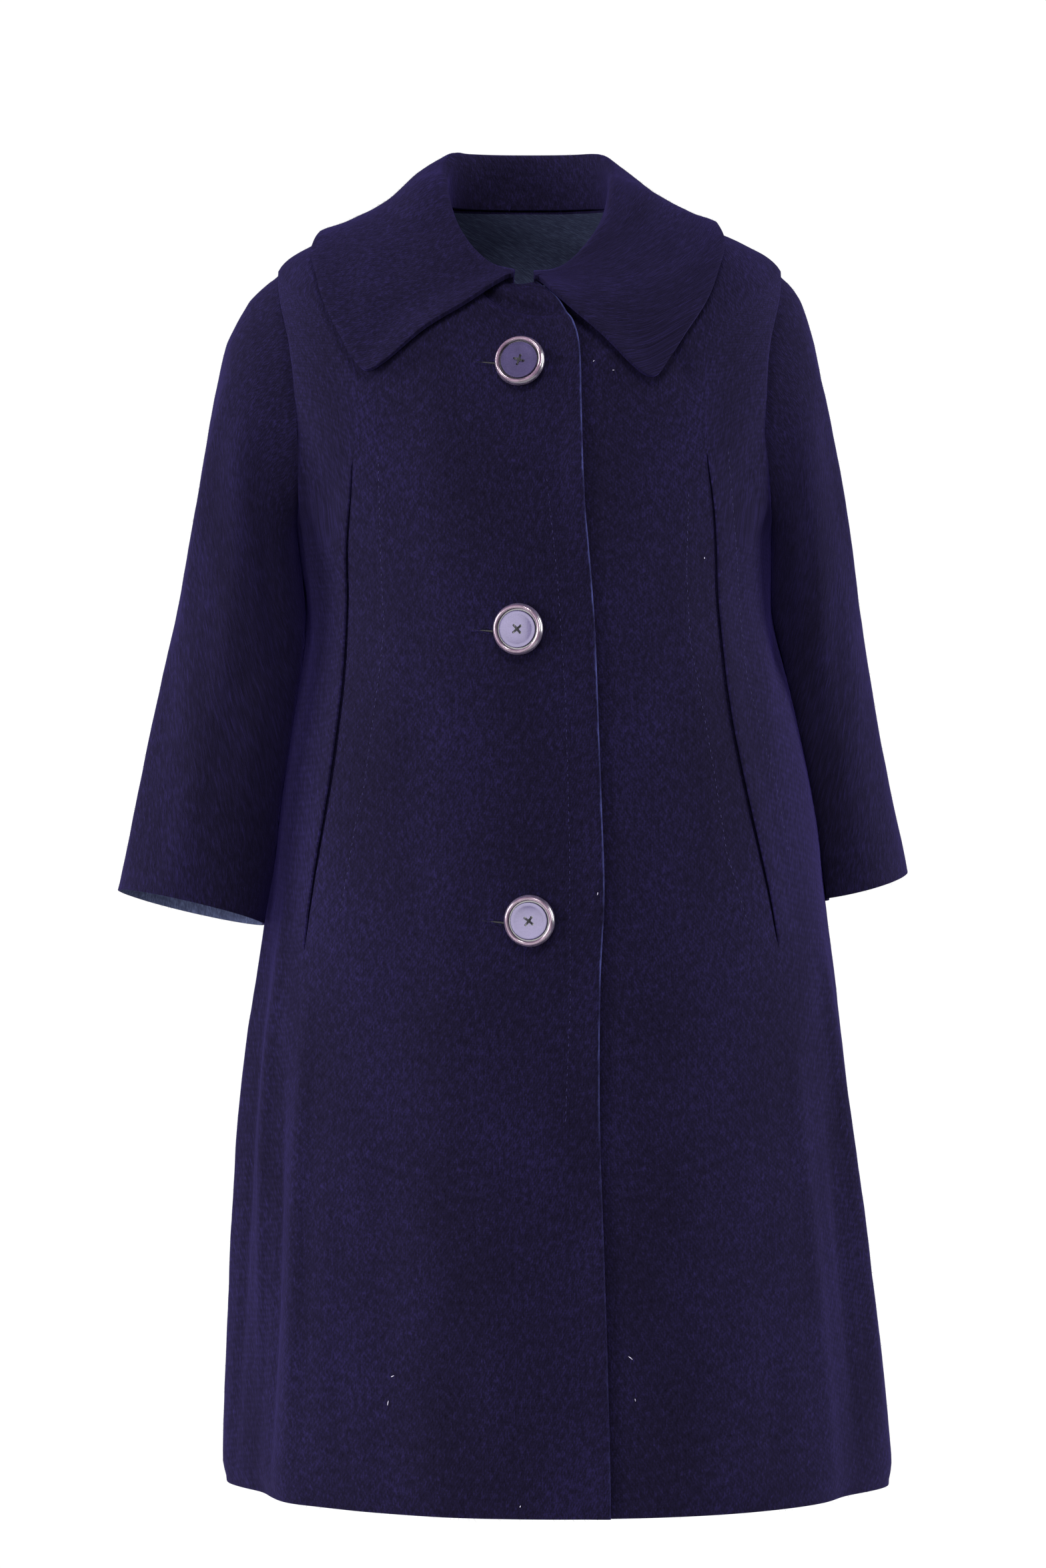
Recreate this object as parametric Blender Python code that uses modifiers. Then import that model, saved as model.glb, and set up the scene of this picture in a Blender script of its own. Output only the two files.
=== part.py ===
"""Swing coat of wool and mohair, fastened with three large buttons, in the form it has when it is worn.

Metres, +Z up. The front of the coat faces -Y and the wearer's left is +X. The origin lies between the
shoulders, at the height where they carry the coat. "Right" and "left" are the wearer's.
"""

import math
from collections import namedtuple

import bmesh
import bpy
from mathutils import Matrix, Vector

# The cloth, and how far pieces stay apart
WALL = 0.0022
COLLAR_WALL = 0.0030
FACING_WALL = 0.0012
SEAM_GAP = 0.0003
SEAM_TURN_GAP = 0.0006
LAP_RISE = 0.0030

# Each row is one level of the coat's body, from the neck seam (row 0) down to the hem. Its columns are
# the heights at the side, centre front and centre back; the middle, half width and depths; how far in
# the armhole cuts the front and the back; and where the front edge and both pocket lines run across.
BodyRing = namedtuple(
    "BodyRing",
    "side_z front_z back_z centre_x half_width front_depth back_depth front_inset back_inset"
    " lap_x slit_right_x slit_left_x",
)
BODY_RINGS = (
    BodyRing(0.016, -0.060, 0.020, 0.004, 0.068, 0.078, 0.062, 0.000, 0.000, 0.0040, -0.045, 0.049),
    BodyRing(0.009, -0.072, 0.008, 0.004, 0.098, 0.091, 0.079, 0.000, 0.000, 0.0165, -0.065, 0.070),
    BodyRing(-0.001, -0.088, -0.010, 0.005, 0.135, 0.103, 0.093, 0.000, 0.000, 0.0305, -0.088, 0.094),
    BodyRing(-0.015, -0.105, -0.030, 0.005, 0.169, 0.113, 0.104, 0.000, 0.000, 0.0420, -0.108, 0.115),
    BodyRing(-0.036, -0.124, -0.052, 0.005, 0.198, 0.121, 0.112, 0.000, 0.000, 0.0438, -0.121, 0.130),
    BodyRing(-0.080, -0.150, -0.090, 0.005, 0.207, 0.127, 0.117, 0.018, 0.012, 0.0441, -0.126, 0.136),
    BodyRing(-0.125, -0.178, -0.132, 0.006, 0.212, 0.133, 0.121, 0.028, 0.020, 0.0446, -0.128, 0.139),
    BodyRing(-0.170, -0.206, -0.174, 0.007, 0.209, 0.139, 0.124, 0.026, 0.018, 0.0453, -0.130, 0.141),
    BodyRing(-0.215, -0.234, -0.216, 0.009, 0.199, 0.143, 0.127, 0.015, 0.011, 0.0465, -0.132, 0.145),
    BodyRing(-0.255, -0.262, -0.255, 0.010, 0.189, 0.147, 0.130, 0.000, 0.000, 0.0490, -0.134, 0.147),
    BodyRing(-0.315, -0.315, -0.315, 0.013, 0.185, 0.150, 0.134, 0.000, 0.000, 0.0530, -0.136, 0.150),
    BodyRing(-0.385, -0.385, -0.385, 0.016, 0.199, 0.153, 0.139, 0.000, 0.000, 0.0560, -0.143, 0.160),
    BodyRing(-0.455, -0.455, -0.455, 0.018, 0.211, 0.157, 0.145, 0.000, 0.000, 0.0585, -0.154, 0.174),
    BodyRing(-0.525, -0.525, -0.525, 0.019, 0.220, 0.161, 0.151, 0.000, 0.000, 0.0605, -0.163, 0.188),
    BodyRing(-0.600, -0.600, -0.600, 0.019, 0.229, 0.166, 0.158, 0.000, 0.000, 0.0575, -0.171, 0.200),
    BodyRing(-0.690, -0.690, -0.690, 0.018, 0.240, 0.173, 0.167, 0.000, 0.000, 0.0570, -0.179, 0.209),
    BodyRing(-0.780, -0.780, -0.780, 0.021, 0.248, 0.181, 0.177, 0.000, 0.000, 0.0595, -0.184, 0.215),
    BodyRing(-0.880, -0.880, -0.880, 0.024, 0.256, 0.190, 0.188, 0.000, 0.000, 0.0625, -0.189, 0.221),
    BodyRing(-0.988, -0.988, -0.988, 0.026, 0.265, 0.200, 0.200, 0.000, 0.000, 0.0650, -0.195, 0.227),
)
SHOULDER_ROW = 4
UNDERARM_ROW = 9
HEM_ROW = len(BODY_RINGS) - 1
ROUNDNESS = 2.2
SLOPE_POWER = 1.5

# Soft folds of the body: the angle of each from centre front, in degrees, how far it stands out at the
# hem (a trough is negative), its spread in degrees, and the height where it dies away.
BodyFold = namedtuple("BodyFold", "angle rise spread top_z")
BODY_FOLDS = (
    BodyFold(-79, 0.006, 7, -0.50),
    BodyFold(-64, -0.006, 6, -0.56),
    BodyFold(-50, 0.004, 6, -0.62),
    BodyFold(58, -0.005, 6, -0.60),
    BodyFold(74, 0.007, 7, -0.48),
    BodyFold(112, -0.010, 9, -0.45),
    BodyFold(133, 0.010, 9, -0.36),
    BodyFold(158, -0.011, 10, -0.42),
    BodyFold(184, 0.009, 10, -0.34),
    BodyFold(209, -0.011, 10, -0.40),
    BodyFold(234, 0.009, 9, -0.38),
    BodyFold(255, -0.008, 8, -0.50),
)

# Where the lapping right front begins to rise over the left one, and where the collar comes down again.
LAP_START_X = -0.105
LAP_FLAT_X = -0.055
LAP_END_X = 0.052
LAP_PAST_X = 0.085

# The pocket slits: the body rows of their ends, their opening and raised outer lip, and the facing
# that closes them from behind.
PocketSlit = namedtuple("PocketSlit", "top_row foot_row")
SLITS = {"right": PocketSlit(7.07, 13.45), "left": PocketSlit(6.85, 13.40)}
SLIT_HALF_GAP = 0.0014
SLIT_LIP_RISE = 0.0022
SLIT_LIP_WIDTH = 0.018
FACING_HALF_WIDTH = 0.015
FACING_DEPTH = 0.0028

# Each row is one level of a sleeve: how far out, in, forward and back it reaches there.
SleeveRing = namedtuple("SleeveRing", "z outer_x inner_x front_y back_y")
SLEEVE_RINGS = {
    "right": (
        SleeveRing(-0.036, -0.193, -0.187, -0.010, 0.010),
        SleeveRing(-0.047, -0.212, -0.182, -0.034, 0.030),
        SleeveRing(-0.062, -0.224, -0.180, -0.050, 0.045),
        SleeveRing(-0.095, -0.236, -0.178, -0.066, 0.058),
        SleeveRing(-0.140, -0.244, -0.176, -0.075, 0.065),
        SleeveRing(-0.200, -0.255, -0.175, -0.080, 0.066),
        SleeveRing(-0.265, -0.267, -0.174, -0.081, 0.062),
        SleeveRing(-0.330, -0.279, -0.171, -0.080, 0.055),
        SleeveRing(-0.392, -0.291, -0.174, -0.078, 0.049),
        SleeveRing(-0.456, -0.305, -0.184, -0.076, 0.045),
        SleeveRing(-0.519, -0.319, -0.197, -0.074, 0.043),
        SleeveRing(-0.570, -0.329, -0.208, -0.073, 0.042),
    ),
    "left": (
        SleeveRing(-0.036, 0.203, 0.197, -0.010, 0.010),
        SleeveRing(-0.047, 0.217, 0.192, -0.034, 0.030),
        SleeveRing(-0.062, 0.224, 0.190, -0.050, 0.045),
        SleeveRing(-0.095, 0.231, 0.188, -0.065, 0.059),
        SleeveRing(-0.140, 0.238, 0.186, -0.072, 0.068),
        SleeveRing(-0.200, 0.249, 0.186, -0.071, 0.075),
        SleeveRing(-0.265, 0.261, 0.187, -0.063, 0.083),
        SleeveRing(-0.330, 0.272, 0.187, -0.050, 0.090),
        SleeveRing(-0.392, 0.283, 0.190, -0.036, 0.097),
        SleeveRing(-0.456, 0.294, 0.199, -0.025, 0.101),
        SleeveRing(-0.519, 0.307, 0.208, -0.018, 0.104),
        SleeveRing(-0.570, 0.317, 0.216, -0.014, 0.106),
    ),
}
# The cuff's plane: a point of its outer side, how much it drops per metre inwards, and how much it
# rises per metre towards the back.
CuffPlane = namedtuple("CuffPlane", "outer_x outer_z inward_drop backward_rise")
CUFFS = {
    "right": CuffPlane(-0.319, -0.529, 0.217, -0.12),
    "left": CuffPlane(0.308, -0.513, 0.217, 0.09),
}
CAP_HASTE = 24.0
UNDERARM_SPREAD = 0.0042
BODY_CLEARANCE = 0.0056

# The collar: each row is one line across it, from the front end round to the centre back, with the
# angle where the line leaves the roll, and the angle and body row of its outer edge.
CollarLine = namedtuple("CollarLine", "roll_angle edge_angle edge_row")
COLLAR_LINES = {
    "right": (
        CollarLine(8.6, 34.2, 4.77),
        CollarLine(24, 40.3, 4.51),
        CollarLine(38, 47.1, 4.07),
        CollarLine(54, 61.1, 3.47),
        CollarLine(70, 74.2, 3.17),
        CollarLine(90, 90, 2.75),
        CollarLine(115, 114, 2.75),
        CollarLine(147, 147, 2.90),
        CollarLine(180, 180, 3.00),
    ),
    "left": (
        CollarLine(3.1, 24.4, 4.67),
        CollarLine(20, 31.0, 4.22),
        CollarLine(34, 39.2, 3.69),
        CollarLine(52, 56.9, 3.01),
        CollarLine(68, 71.3, 2.68),
        CollarLine(90, 90, 2.25),
        CollarLine(115, 114, 2.40),
        CollarLine(147, 147, 2.75),
        CollarLine(180, 180, 3.00),
    ),
}
COLLAR_LIFT = 0.0040
STAND_FRONT = 0.003
STAND_BACK = 0.037
STAND_RISE_FROM = 60
STAND_RISE_TO = 130
FALL_START_ROW = 0.15
FALL_EASE = 1.5
FALL_ROW_POWER = 0.75
CREST_RISE = 0.0022
# Lines along the collar: the stand's foot and top, the crest of the roll, then shares of the fall
STAND_LINES = (("stand", 0.0), ("stand", 1.0), ("crest", 0.0))
FALL_SHARES = (0.0, 0.10, 0.25, 0.42, 0.60, 0.80, 1.0)

# The buttons: where each centre lies across and down the right front, how it tips, and how far it
# stands out of the cloth.
ButtonPlace = namedtuple("ButtonPlace", "name x row tip_down stand_out")
BUTTONS = (
    ButtonPlace("top", -0.0010, 3.91, 9, 0.0012),
    ButtonPlace("middle", -0.0020, 10.17, 2, 0.0003),
    ButtonPlace("low", 0.0060, 13.28, 0, -0.0003),
)
BUTTON_STEPS = 28
HOLE_RADIUS = 0.0011
HOLE_SPACING = 0.0030

# Grid counts: cells across each stretch of a piece
LAP_TO_SLIT_CELLS = 8
SLIT_TO_SEAM_CELLS = 6
BACK_CELLS = 20
COLLAR_LINES_EACH_SIDE = 20
LOWER_ROWS = (9, 9.5, 10, 10.6, 11.2, 11.8, 12.4, 12.9, 13.42, 14.1, 14.8, 15.5, 16.3, 17.15, 18)
ARMHOLE_CELLS = 10
SLEEVE_CELLS = 15

# The photo's colours, as linear values
NAVY_CLOTH = (0.020, 0.016, 0.075, 1.0)
BLUE_REVERSE = (0.060, 0.075, 0.220, 1.0)
BUTTON_PLUM = (0.055, 0.035, 0.075, 1.0)
BUTTON_RIM = (0.800, 0.660, 0.700, 1.0)
BUTTON_LILAC = (0.420, 0.370, 0.580, 1.0)
CLOTH_ROUGHNESS = 0.95
BUTTON_ROUGHNESS = 0.35


def between(rows, place):
    """The row at a fractional place in a table, on a smooth curve through its rows."""
    first = min(max(int(place), 0), len(rows) - 2)
    share = place - first
    before = rows[max(first - 1, 0)]
    after = rows[min(first + 2, len(rows) - 1)]
    values = []
    for a, b, c, d in zip(before, rows[first], rows[first + 1], after):
        slope_b = (c - a) / 2
        slope_c = (d - b) / 2
        bend = 2 * (b - c) + slope_b + slope_c
        lean = 3 * (c - b) - 2 * slope_b - slope_c
        values.append(((bend * share + lean) * share + slope_b) * share + b)
    return type(rows[0])(*values)


def signed_power(value, power):
    return math.copysign(abs(value) ** power, value)


def smooth_step(value, low, high):
    share = min(max((value - low) / (high - low), 0.0), 1.0)
    return share * share * (3 - 2 * share)


def mix(first, second, share):
    return first + (second - first) * share


def fold_rise(angle, z):
    """How far the body's soft folds stand out at this angle and height."""
    rise = 0.0
    for fold in BODY_FOLDS:
        turn = math.degrees(angle) - fold.angle
        turn = (turn + 180) % 360 - 180
        growth = smooth_step(z, fold.top_z, BODY_RINGS[HEM_ROW].side_z)
        rise += fold.rise * growth * math.exp(-((turn / fold.spread) ** 2))
    return rise


def body_point(angle, row):
    """A point of the body's cloth, by its angle from centre front and its row in the table."""
    ring = between(BODY_RINGS, row)
    across = math.sin(angle)
    along = math.cos(angle)
    depth = ring.front_depth if along > 0 else ring.back_depth
    level = ring.front_z if along > 0 else ring.back_z
    z = ring.side_z + (level - ring.side_z) * abs(along) ** SLOPE_POWER
    rise = fold_rise(angle, z)
    x = (ring.half_width + rise) * signed_power(across, 2 / ROUNDNESS)
    y = -(depth + rise) * signed_power(along, 2 / ROUNDNESS)
    return Vector((ring.centre_x + x, y, z))


def body_directions(angle, row):
    """The directions around, down and out of the body's cloth at that point."""
    step = 0.01
    high = max(row - step, 0.0)
    low = min(row + step, float(HEM_ROW))
    around = (body_point(angle + step, row) - body_point(angle - step, row)).normalized()
    down = (body_point(angle, low) - body_point(angle, high)).normalized()
    return around, down, down.cross(around).normalized()


def on_body(angle, row, out):
    return body_point(angle, row) + body_directions(angle, row)[2] * out


def angle_at(row, x):
    """The angle on the front half where the body's cloth lies at x."""
    ring = between(BODY_RINGS, row)
    share = (x - ring.centre_x) / ring.half_width
    share = min(max(share, -1.0), 1.0)
    return math.asin(signed_power(share, ROUNDNESS / 2))


def seam_angle(row, part):
    """How far round, from centre front, the front or back reaches: to its side seam or armhole."""
    ring = between(BODY_RINGS, row)
    inset = ring.front_inset if part == "front" else ring.back_inset
    depth = ring.front_depth if part == "front" else ring.back_depth
    in_armhole = SHOULDER_ROW < row < UNDERARM_ROW
    if in_armhole and inset > 0:
        angle = math.asin((1 - inset / ring.half_width) ** (ROUNDNESS / 2))
    else:
        open_half = (SEAM_GAP + SEAM_TURN_GAP) / 2
        angle = math.acos((open_half / depth) ** (ROUNDNESS / 2))
    return angle if part == "front" else math.pi - angle


def lap_rise(x):
    """How far the right front stands out to lap over the left one."""
    return LAP_RISE * smooth_step(x, LAP_START_X, LAP_FLAT_X)


def slit_opening(side, row):
    """How open the pocket slit is at this row, from 0 at its ends to 1."""
    slit = SLITS[side]
    share = (row - slit.top_row) / (slit.foot_row - slit.top_row)
    if not 0 < share < 1:
        return 0.0
    return math.sin(math.pi * share) ** 0.6


def slit_x(side, row):
    ring = between(BODY_RINGS, row)
    return ring.slit_right_x if side == "right" else ring.slit_left_x


def front_point(side, place, row, slit_side=0):
    """A point of a front: place runs from 0 at its front edge through 1 at the slit to 2 at the seam."""
    ring = between(BODY_RINGS, row)
    sign = -1 if side == "right" else 1
    edge_x = ring.lap_x if side == "right" else 2 * ring.centre_x - ring.lap_x
    edge = angle_at(row, edge_x)
    slit = angle_at(row, slit_x(side, row))
    seam = sign * seam_angle(row, "front")
    if place <= 1:
        angle = mix(edge, slit, place)
    else:
        angle = mix(slit, seam, place - 1)
    point = body_point(angle, row)
    around, _, out = body_directions(angle, row)
    rise = lap_rise(point.x) if side == "right" else 0.0
    opening = slit_opening(side, row)
    if place > 1 or slit_side > 0:
        from_slit = abs(point.x - slit_x(side, row))
        rise += SLIT_LIP_RISE * opening * (1 - smooth_step(from_slit, 0.0, SLIT_LIP_WIDTH))
    return point + out * rise + around * (sign * slit_side * SLIT_HALF_GAP * opening)


def facing_point(side, place, row):
    """A point of the strip behind a pocket slit: place runs from -1 to 1 across it."""
    angle = angle_at(row, slit_x(side, row) + place * FACING_HALF_WIDTH)
    return on_body(angle, row, -FACING_DEPTH)


def back_point(place, row):
    """A point of the back: place runs from -1 at the left seam, round, to 1 at the right seam."""
    seam = seam_angle(row, "back")
    return body_point(math.pi + place * (math.pi - seam), row)


def armhole_row(share):
    """The body row at a share of the way down the armhole, closer together at its ends."""
    return mix(SHOULDER_ROW, UNDERARM_ROW, (1 - math.cos(math.pi * share)) / 2)


def clear_of_body(point):
    """The point, moved out of the body's side where the sleeve would touch it."""
    levels = [ring.side_z for ring in BODY_RINGS]
    row = float(UNDERARM_ROW)
    for index in range(UNDERARM_ROW, HEM_ROW):
        if levels[index] >= point.z >= levels[index + 1]:
            row = index + (levels[index] - point.z) / (levels[index] - levels[index + 1])
    ring = between(BODY_RINGS, row)
    depth = ring.front_depth if point.y < 0 else ring.back_depth
    x = point.x - ring.centre_x
    wide = abs(x) / (ring.half_width + BODY_CLEARANCE)
    deep = abs(point.y) / (depth + BODY_CLEARANCE)
    reach = (wide**ROUNDNESS + deep**ROUNDNESS) ** (1 / ROUNDNESS)
    if reach >= 1:
        return point
    return Vector((ring.centre_x + x / reach, point.y / reach, point.z))


def sleeve_point(side, turn, share):
    """A point of a sleeve: turn runs from 0 at the outer side, over the front, round to 1."""
    sign = -1 if side == "right" else 1
    angle = turn * 2 * math.pi
    if turn <= 0.5:
        row = armhole_row(turn * 2)
        start = body_point(sign * seam_angle(row, "front"), row)
    else:
        row = armhole_row(2 - turn * 2)
        start = body_point(sign * seam_angle(row, "back"), row)
    spread = SEAM_GAP + 2 * SEAM_TURN_GAP + UNDERARM_SPREAD * (1 - math.cos(angle)) / 2
    start = start + Vector((sign * spread, 0, 0))
    cuff = CUFFS[side]
    rings = SLEEVE_RINGS[side]
    foot = section_point(rings, sign, angle, cuff.outer_z)
    inward = sign * (cuff.outer_x - foot.x)
    cuff_z = cuff.outer_z - inward * cuff.inward_drop + foot.y * cuff.backward_rise
    z = mix(start.z, cuff_z, share)
    level = section_point(rings, sign, angle, z)
    haste = 1 - (1 - share) ** CAP_HASTE
    point = Vector((mix(start.x, level.x, haste), mix(start.y, level.y, haste), z))
    return clear_of_body(point) if share > 0 else point


def section_point(rings, sign, angle, z):
    """A point of a sleeve's cross-section at height z."""
    place = 0.0
    for index in range(len(rings) - 1):
        if rings[index].z >= z >= rings[index + 1].z:
            place = index + (rings[index].z - z) / (rings[index].z - rings[index + 1].z)
    ring = between(rings, place)
    middle_x = (ring.outer_x + ring.inner_x) / 2
    middle_y = (ring.front_y + ring.back_y) / 2
    half_width = abs(ring.outer_x - ring.inner_x) / 2
    half_depth = (ring.back_y - ring.front_y) / 2
    x = middle_x + sign * half_width * math.cos(angle)
    return Vector((x, middle_y - half_depth * math.sin(angle), z))


def collar_rise(x):
    """How far the collar is lifted by the lapping front below it."""
    return lap_rise(x) * (1 - smooth_step(x, LAP_END_X, LAP_PAST_X))


def collar_point(side, place, line):
    """A point of the collar: place runs from 0 at the front end to 1 at the centre back."""
    sign = -1 if side == "right" else 1
    lines = COLLAR_LINES[side]
    across = between(lines, place * (len(lines) - 1))
    roll = math.radians(across.roll_angle)
    edge = math.radians(across.edge_angle)
    rise = smooth_step(across.roll_angle, STAND_RISE_FROM, STAND_RISE_TO)
    stand = mix(STAND_FRONT, STAND_BACK, rise)
    up = Vector((0, 0, 1))
    kind, share = line
    neck = body_point(sign * roll, 0)
    _, down, out = body_directions(sign * roll, 0)
    stand_foot = neck - down * (COLLAR_WALL / 2 + 2 * SEAM_TURN_GAP) + out * collar_rise(neck.x)
    stand_top = stand_foot + up * stand
    fall = fall_point(sign, roll, edge, across.edge_row, share, stand)
    if kind == "stand":
        return mix(stand_foot - up * COLLAR_WALL / 2, stand_top, share)
    if kind == "crest":
        return (stand_top + fall) / 2 + up * CREST_RISE
    return fall


def fall_point(sign, roll, edge, edge_row, share, stand):
    """A point of the collar's fall, from the roll (share 0) to its outer edge (share 1)."""
    row = mix(FALL_START_ROW, edge_row, share**FALL_ROW_POWER)
    angle = sign * mix(roll, edge, share)
    x = body_point(angle, row).x
    point = on_body(angle, row, COLLAR_LIFT + collar_rise(x))
    return point + Vector((0, 0, stand * (1 - share) ** FALL_EASE))


def grid_sheet(columns, rows, slit=None):
    """A flat grid, one unit to a cell, with the edges of a slit parted. A slit is column, first, last."""
    bm = bmesh.new()
    bmesh.ops.create_grid(bm, x_segments=columns, y_segments=rows, size=0.5)
    for vert in bm.verts:
        vert.co.x = round((vert.co.x + 0.5) * columns)
        vert.co.y = round((vert.co.y + 0.5) * rows)
    if slit:
        column, first, last = slit
        parted = [
            edge
            for edge in bm.edges
            if all(vert.co.x == column and first <= vert.co.y <= last for vert in edge.verts)
        ]
        bmesh.ops.split_edges(bm, edges=parted)
    return bm


def cloth(name, bm, wall, material):
    """The cloth piece made from an open sheet."""
    bmesh.ops.recalc_face_normals(bm, faces=bm.faces)
    mesh = bpy.data.meshes.new(name)
    bm.to_mesh(mesh)
    bm.free()
    piece = bpy.data.objects.new(name, mesh)
    coat.objects.link(piece)
    mesh.materials.append(material)
    mesh.shade_smooth()
    thickness = piece.modifiers.new("Wall", "SOLIDIFY")
    thickness.thickness = wall
    thickness.offset = 0
    return piece


def body_rows():
    """The body rows of a panel's grid: those in the armhole match the sleeve's lines."""
    yoke = [index / 2 for index in range(2 * SHOULDER_ROW)]
    armhole = [armhole_row(index / ARMHOLE_CELLS) for index in range(ARMHOLE_CELLS)]
    return yoke + armhole + list(LOWER_ROWS)


def make_front(side, material):
    rows = body_rows()
    slit = SLITS[side]
    first = min(range(len(rows)), key=lambda index: abs(rows[index] - slit.top_row))
    last = min(range(len(rows)), key=lambda index: abs(rows[index] - slit.foot_row))
    cells = LAP_TO_SLIT_CELLS + SLIT_TO_SEAM_CELLS
    bm = grid_sheet(cells, len(rows) - 1, (LAP_TO_SLIT_CELLS, first, last))
    places = []
    for vert in bm.verts:
        column = vert.co.x
        row = rows[int(vert.co.y)]
        slit_side = 0
        if column == LAP_TO_SLIT_CELLS and first < vert.co.y < last:
            middle = sum(face.calc_center_median().x for face in vert.link_faces)
            slit_side = 1 if middle / len(vert.link_faces) > column else -1
        if column <= LAP_TO_SLIT_CELLS:
            place = column / LAP_TO_SLIT_CELLS
        else:
            place = 1 + (column - LAP_TO_SLIT_CELLS) / SLIT_TO_SEAM_CELLS
        places.append((vert, front_point(side, place, row, slit_side)))
    for vert, point in places:
        vert.co = point
    return cloth("front_" + side, bm, WALL, material)


def make_facing(side, material):
    slit = SLITS[side]
    cells = 18
    bm = grid_sheet(2, cells)
    for vert in bm.verts:
        row = mix(slit.top_row - 0.2, slit.foot_row + 0.15, vert.co.y / cells)
        vert.co = facing_point(side, vert.co.x - 1, row)
    return cloth("pocket_facing_" + side, bm, FACING_WALL, material)


def make_back(material):
    rows = body_rows()
    bm = grid_sheet(BACK_CELLS, len(rows) - 1)
    for vert in bm.verts:
        vert.co = back_point(vert.co.x * 2 / BACK_CELLS - 1, rows[int(vert.co.y)])
    return cloth("back", bm, WALL, material)


def make_sleeve(side, material):
    around = 2 * ARMHOLE_CELLS
    bm = grid_sheet(around, SLEEVE_CELLS)
    for vert in bm.verts:
        share = (vert.co.y / SLEEVE_CELLS) ** 1.8
        vert.co = sleeve_point(side, vert.co.x / around, share)
    bmesh.ops.remove_doubles(bm, verts=bm.verts, dist=0.00002)
    return cloth("sleeve_" + side, bm, WALL, material)


def make_collar(material):
    lines = STAND_LINES + tuple(("fall", share) for share in FALL_SHARES)
    bm = grid_sheet(2 * COLLAR_LINES_EACH_SIDE, len(lines) - 1)
    for vert in bm.verts:
        along = vert.co.x / COLLAR_LINES_EACH_SIDE
        line = lines[int(vert.co.y)]
        if along <= 1:
            vert.co = collar_point("right", along, line)
        else:
            vert.co = collar_point("left", 2 - along, line)
    return cloth("collar", bm, COLLAR_WALL, material)


def turned(name, profile, place, closed, material):
    """A turned piece from its outline, run from the top, down the outer side."""
    mesh = bpy.data.meshes.new(name)
    points = [(radius, 0, height) for radius, height in profile]
    edges = [(index, index + 1) for index in range(len(points) - 1)]
    if closed:
        edges.append((len(points) - 1, 0))
    mesh.from_pydata(points, edges, [])
    piece = bpy.data.objects.new(name, mesh)
    coat.objects.link(piece)
    mesh.materials.append(material)
    turning = piece.modifiers.new("Turned", "SCREW")
    turning.steps = BUTTON_STEPS
    turning.render_steps = BUTTON_STEPS
    turning.use_merge_vertices = True
    turning.merge_threshold = 0.00001
    piece.matrix_world = place
    return piece


def button_place(button):
    """Where a button stands: its middle on the right front, facing out and tipped down."""
    angle = angle_at(button.row, button.x)
    out = body_directions(angle, button.row)[2]
    out = Matrix.Rotation(math.radians(button.tip_down), 3, "X") @ out
    level = LAP_RISE + WALL / 2 + SEAM_GAP + button.stand_out
    middle = on_body(angle, button.row, level)
    turn = out.to_track_quat("Z", "Y").to_matrix().to_4x4()
    return Matrix.Translation(middle) @ turn


def make_button(button, plum, rim, lilac):
    place = button_place(button)
    base = (
        (0.0, 0.0024),
        (0.0157, 0.0024),
        (0.0157, 0.0036),
        (0.0190, 0.0036),
        (0.0190, 0.0022),
        (0.0176, 0.0009),
        (0.0130, 0.0),
        (0.0, 0.0),
    )
    ring = (
        (0.0160, 0.0049),
        (0.0183, 0.0049),
        (0.0189, 0.0044),
        (0.0189, 0.0039),
        (0.0158, 0.0039),
        (0.0158, 0.0046),
    )
    disc = (
        (0.0, 0.0040),
        (0.0130, 0.0043),
        (0.0142, 0.0040),
        (0.0144, 0.0030),
        (0.0140, 0.0027),
        (0.0, 0.0027),
    )
    turned("button_base_" + button.name, base, place, False, plum)
    turned("button_ring_" + button.name, ring, place, True, rim)
    middle = turned("button_disc_" + button.name, disc, place, False, lilac)
    for across in (-1, 1):
        for along in (-1, 1):
            cut_hole(middle, place, across, along)


def cut_hole(disc, place, across, along):
    """One of a button's four thread holes."""
    bm = bmesh.new()
    bmesh.ops.create_cone(
        bm,
        cap_ends=True,
        segments=8,
        radius1=HOLE_RADIUS,
        radius2=HOLE_RADIUS,
        depth=0.010,
    )
    mesh = bpy.data.meshes.new("thread_hole")
    bm.to_mesh(mesh)
    bm.free()
    cutter = bpy.data.objects.new("thread_hole", mesh)
    cutters.objects.link(cutter)
    cutter.hide_render = True
    cutter.display_type = "WIRE"
    shift = (across * HOLE_SPACING / 2, along * HOLE_SPACING / 2, 0.0035)
    cutter.matrix_world = place @ Matrix.Translation(shift)
    hole = disc.modifiers.new("Hole", "BOOLEAN")
    hole.operation = "DIFFERENCE"
    hole.object = cutter


def make_material(name, colour, roughness):
    material = bpy.data.materials.new(name)
    material.use_nodes = True
    shader = material.node_tree.nodes["Principled BSDF"]
    shader.inputs["Base Color"].default_value = colour
    shader.inputs["Roughness"].default_value = roughness
    shader.inputs["Metallic"].default_value = 0.0
    material.diffuse_color = colour
    return material


for startup_object in list(bpy.data.objects):
    bpy.data.objects.remove(startup_object)
coat = bpy.data.collections.new("swing_coat")
cutters = bpy.data.collections.new("cutters")
bpy.context.scene.collection.children.link(coat)
bpy.context.scene.collection.children.link(cutters)

navy = make_material("navy_cloth", NAVY_CLOTH, CLOTH_ROUGHNESS)
reverse = make_material("blue_reverse", BLUE_REVERSE, CLOTH_ROUGHNESS)
plum = make_material("button_plum", BUTTON_PLUM, BUTTON_ROUGHNESS)
rim = make_material("button_rim", BUTTON_RIM, BUTTON_ROUGHNESS)
lilac = make_material("button_lilac", BUTTON_LILAC, BUTTON_ROUGHNESS)

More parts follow.
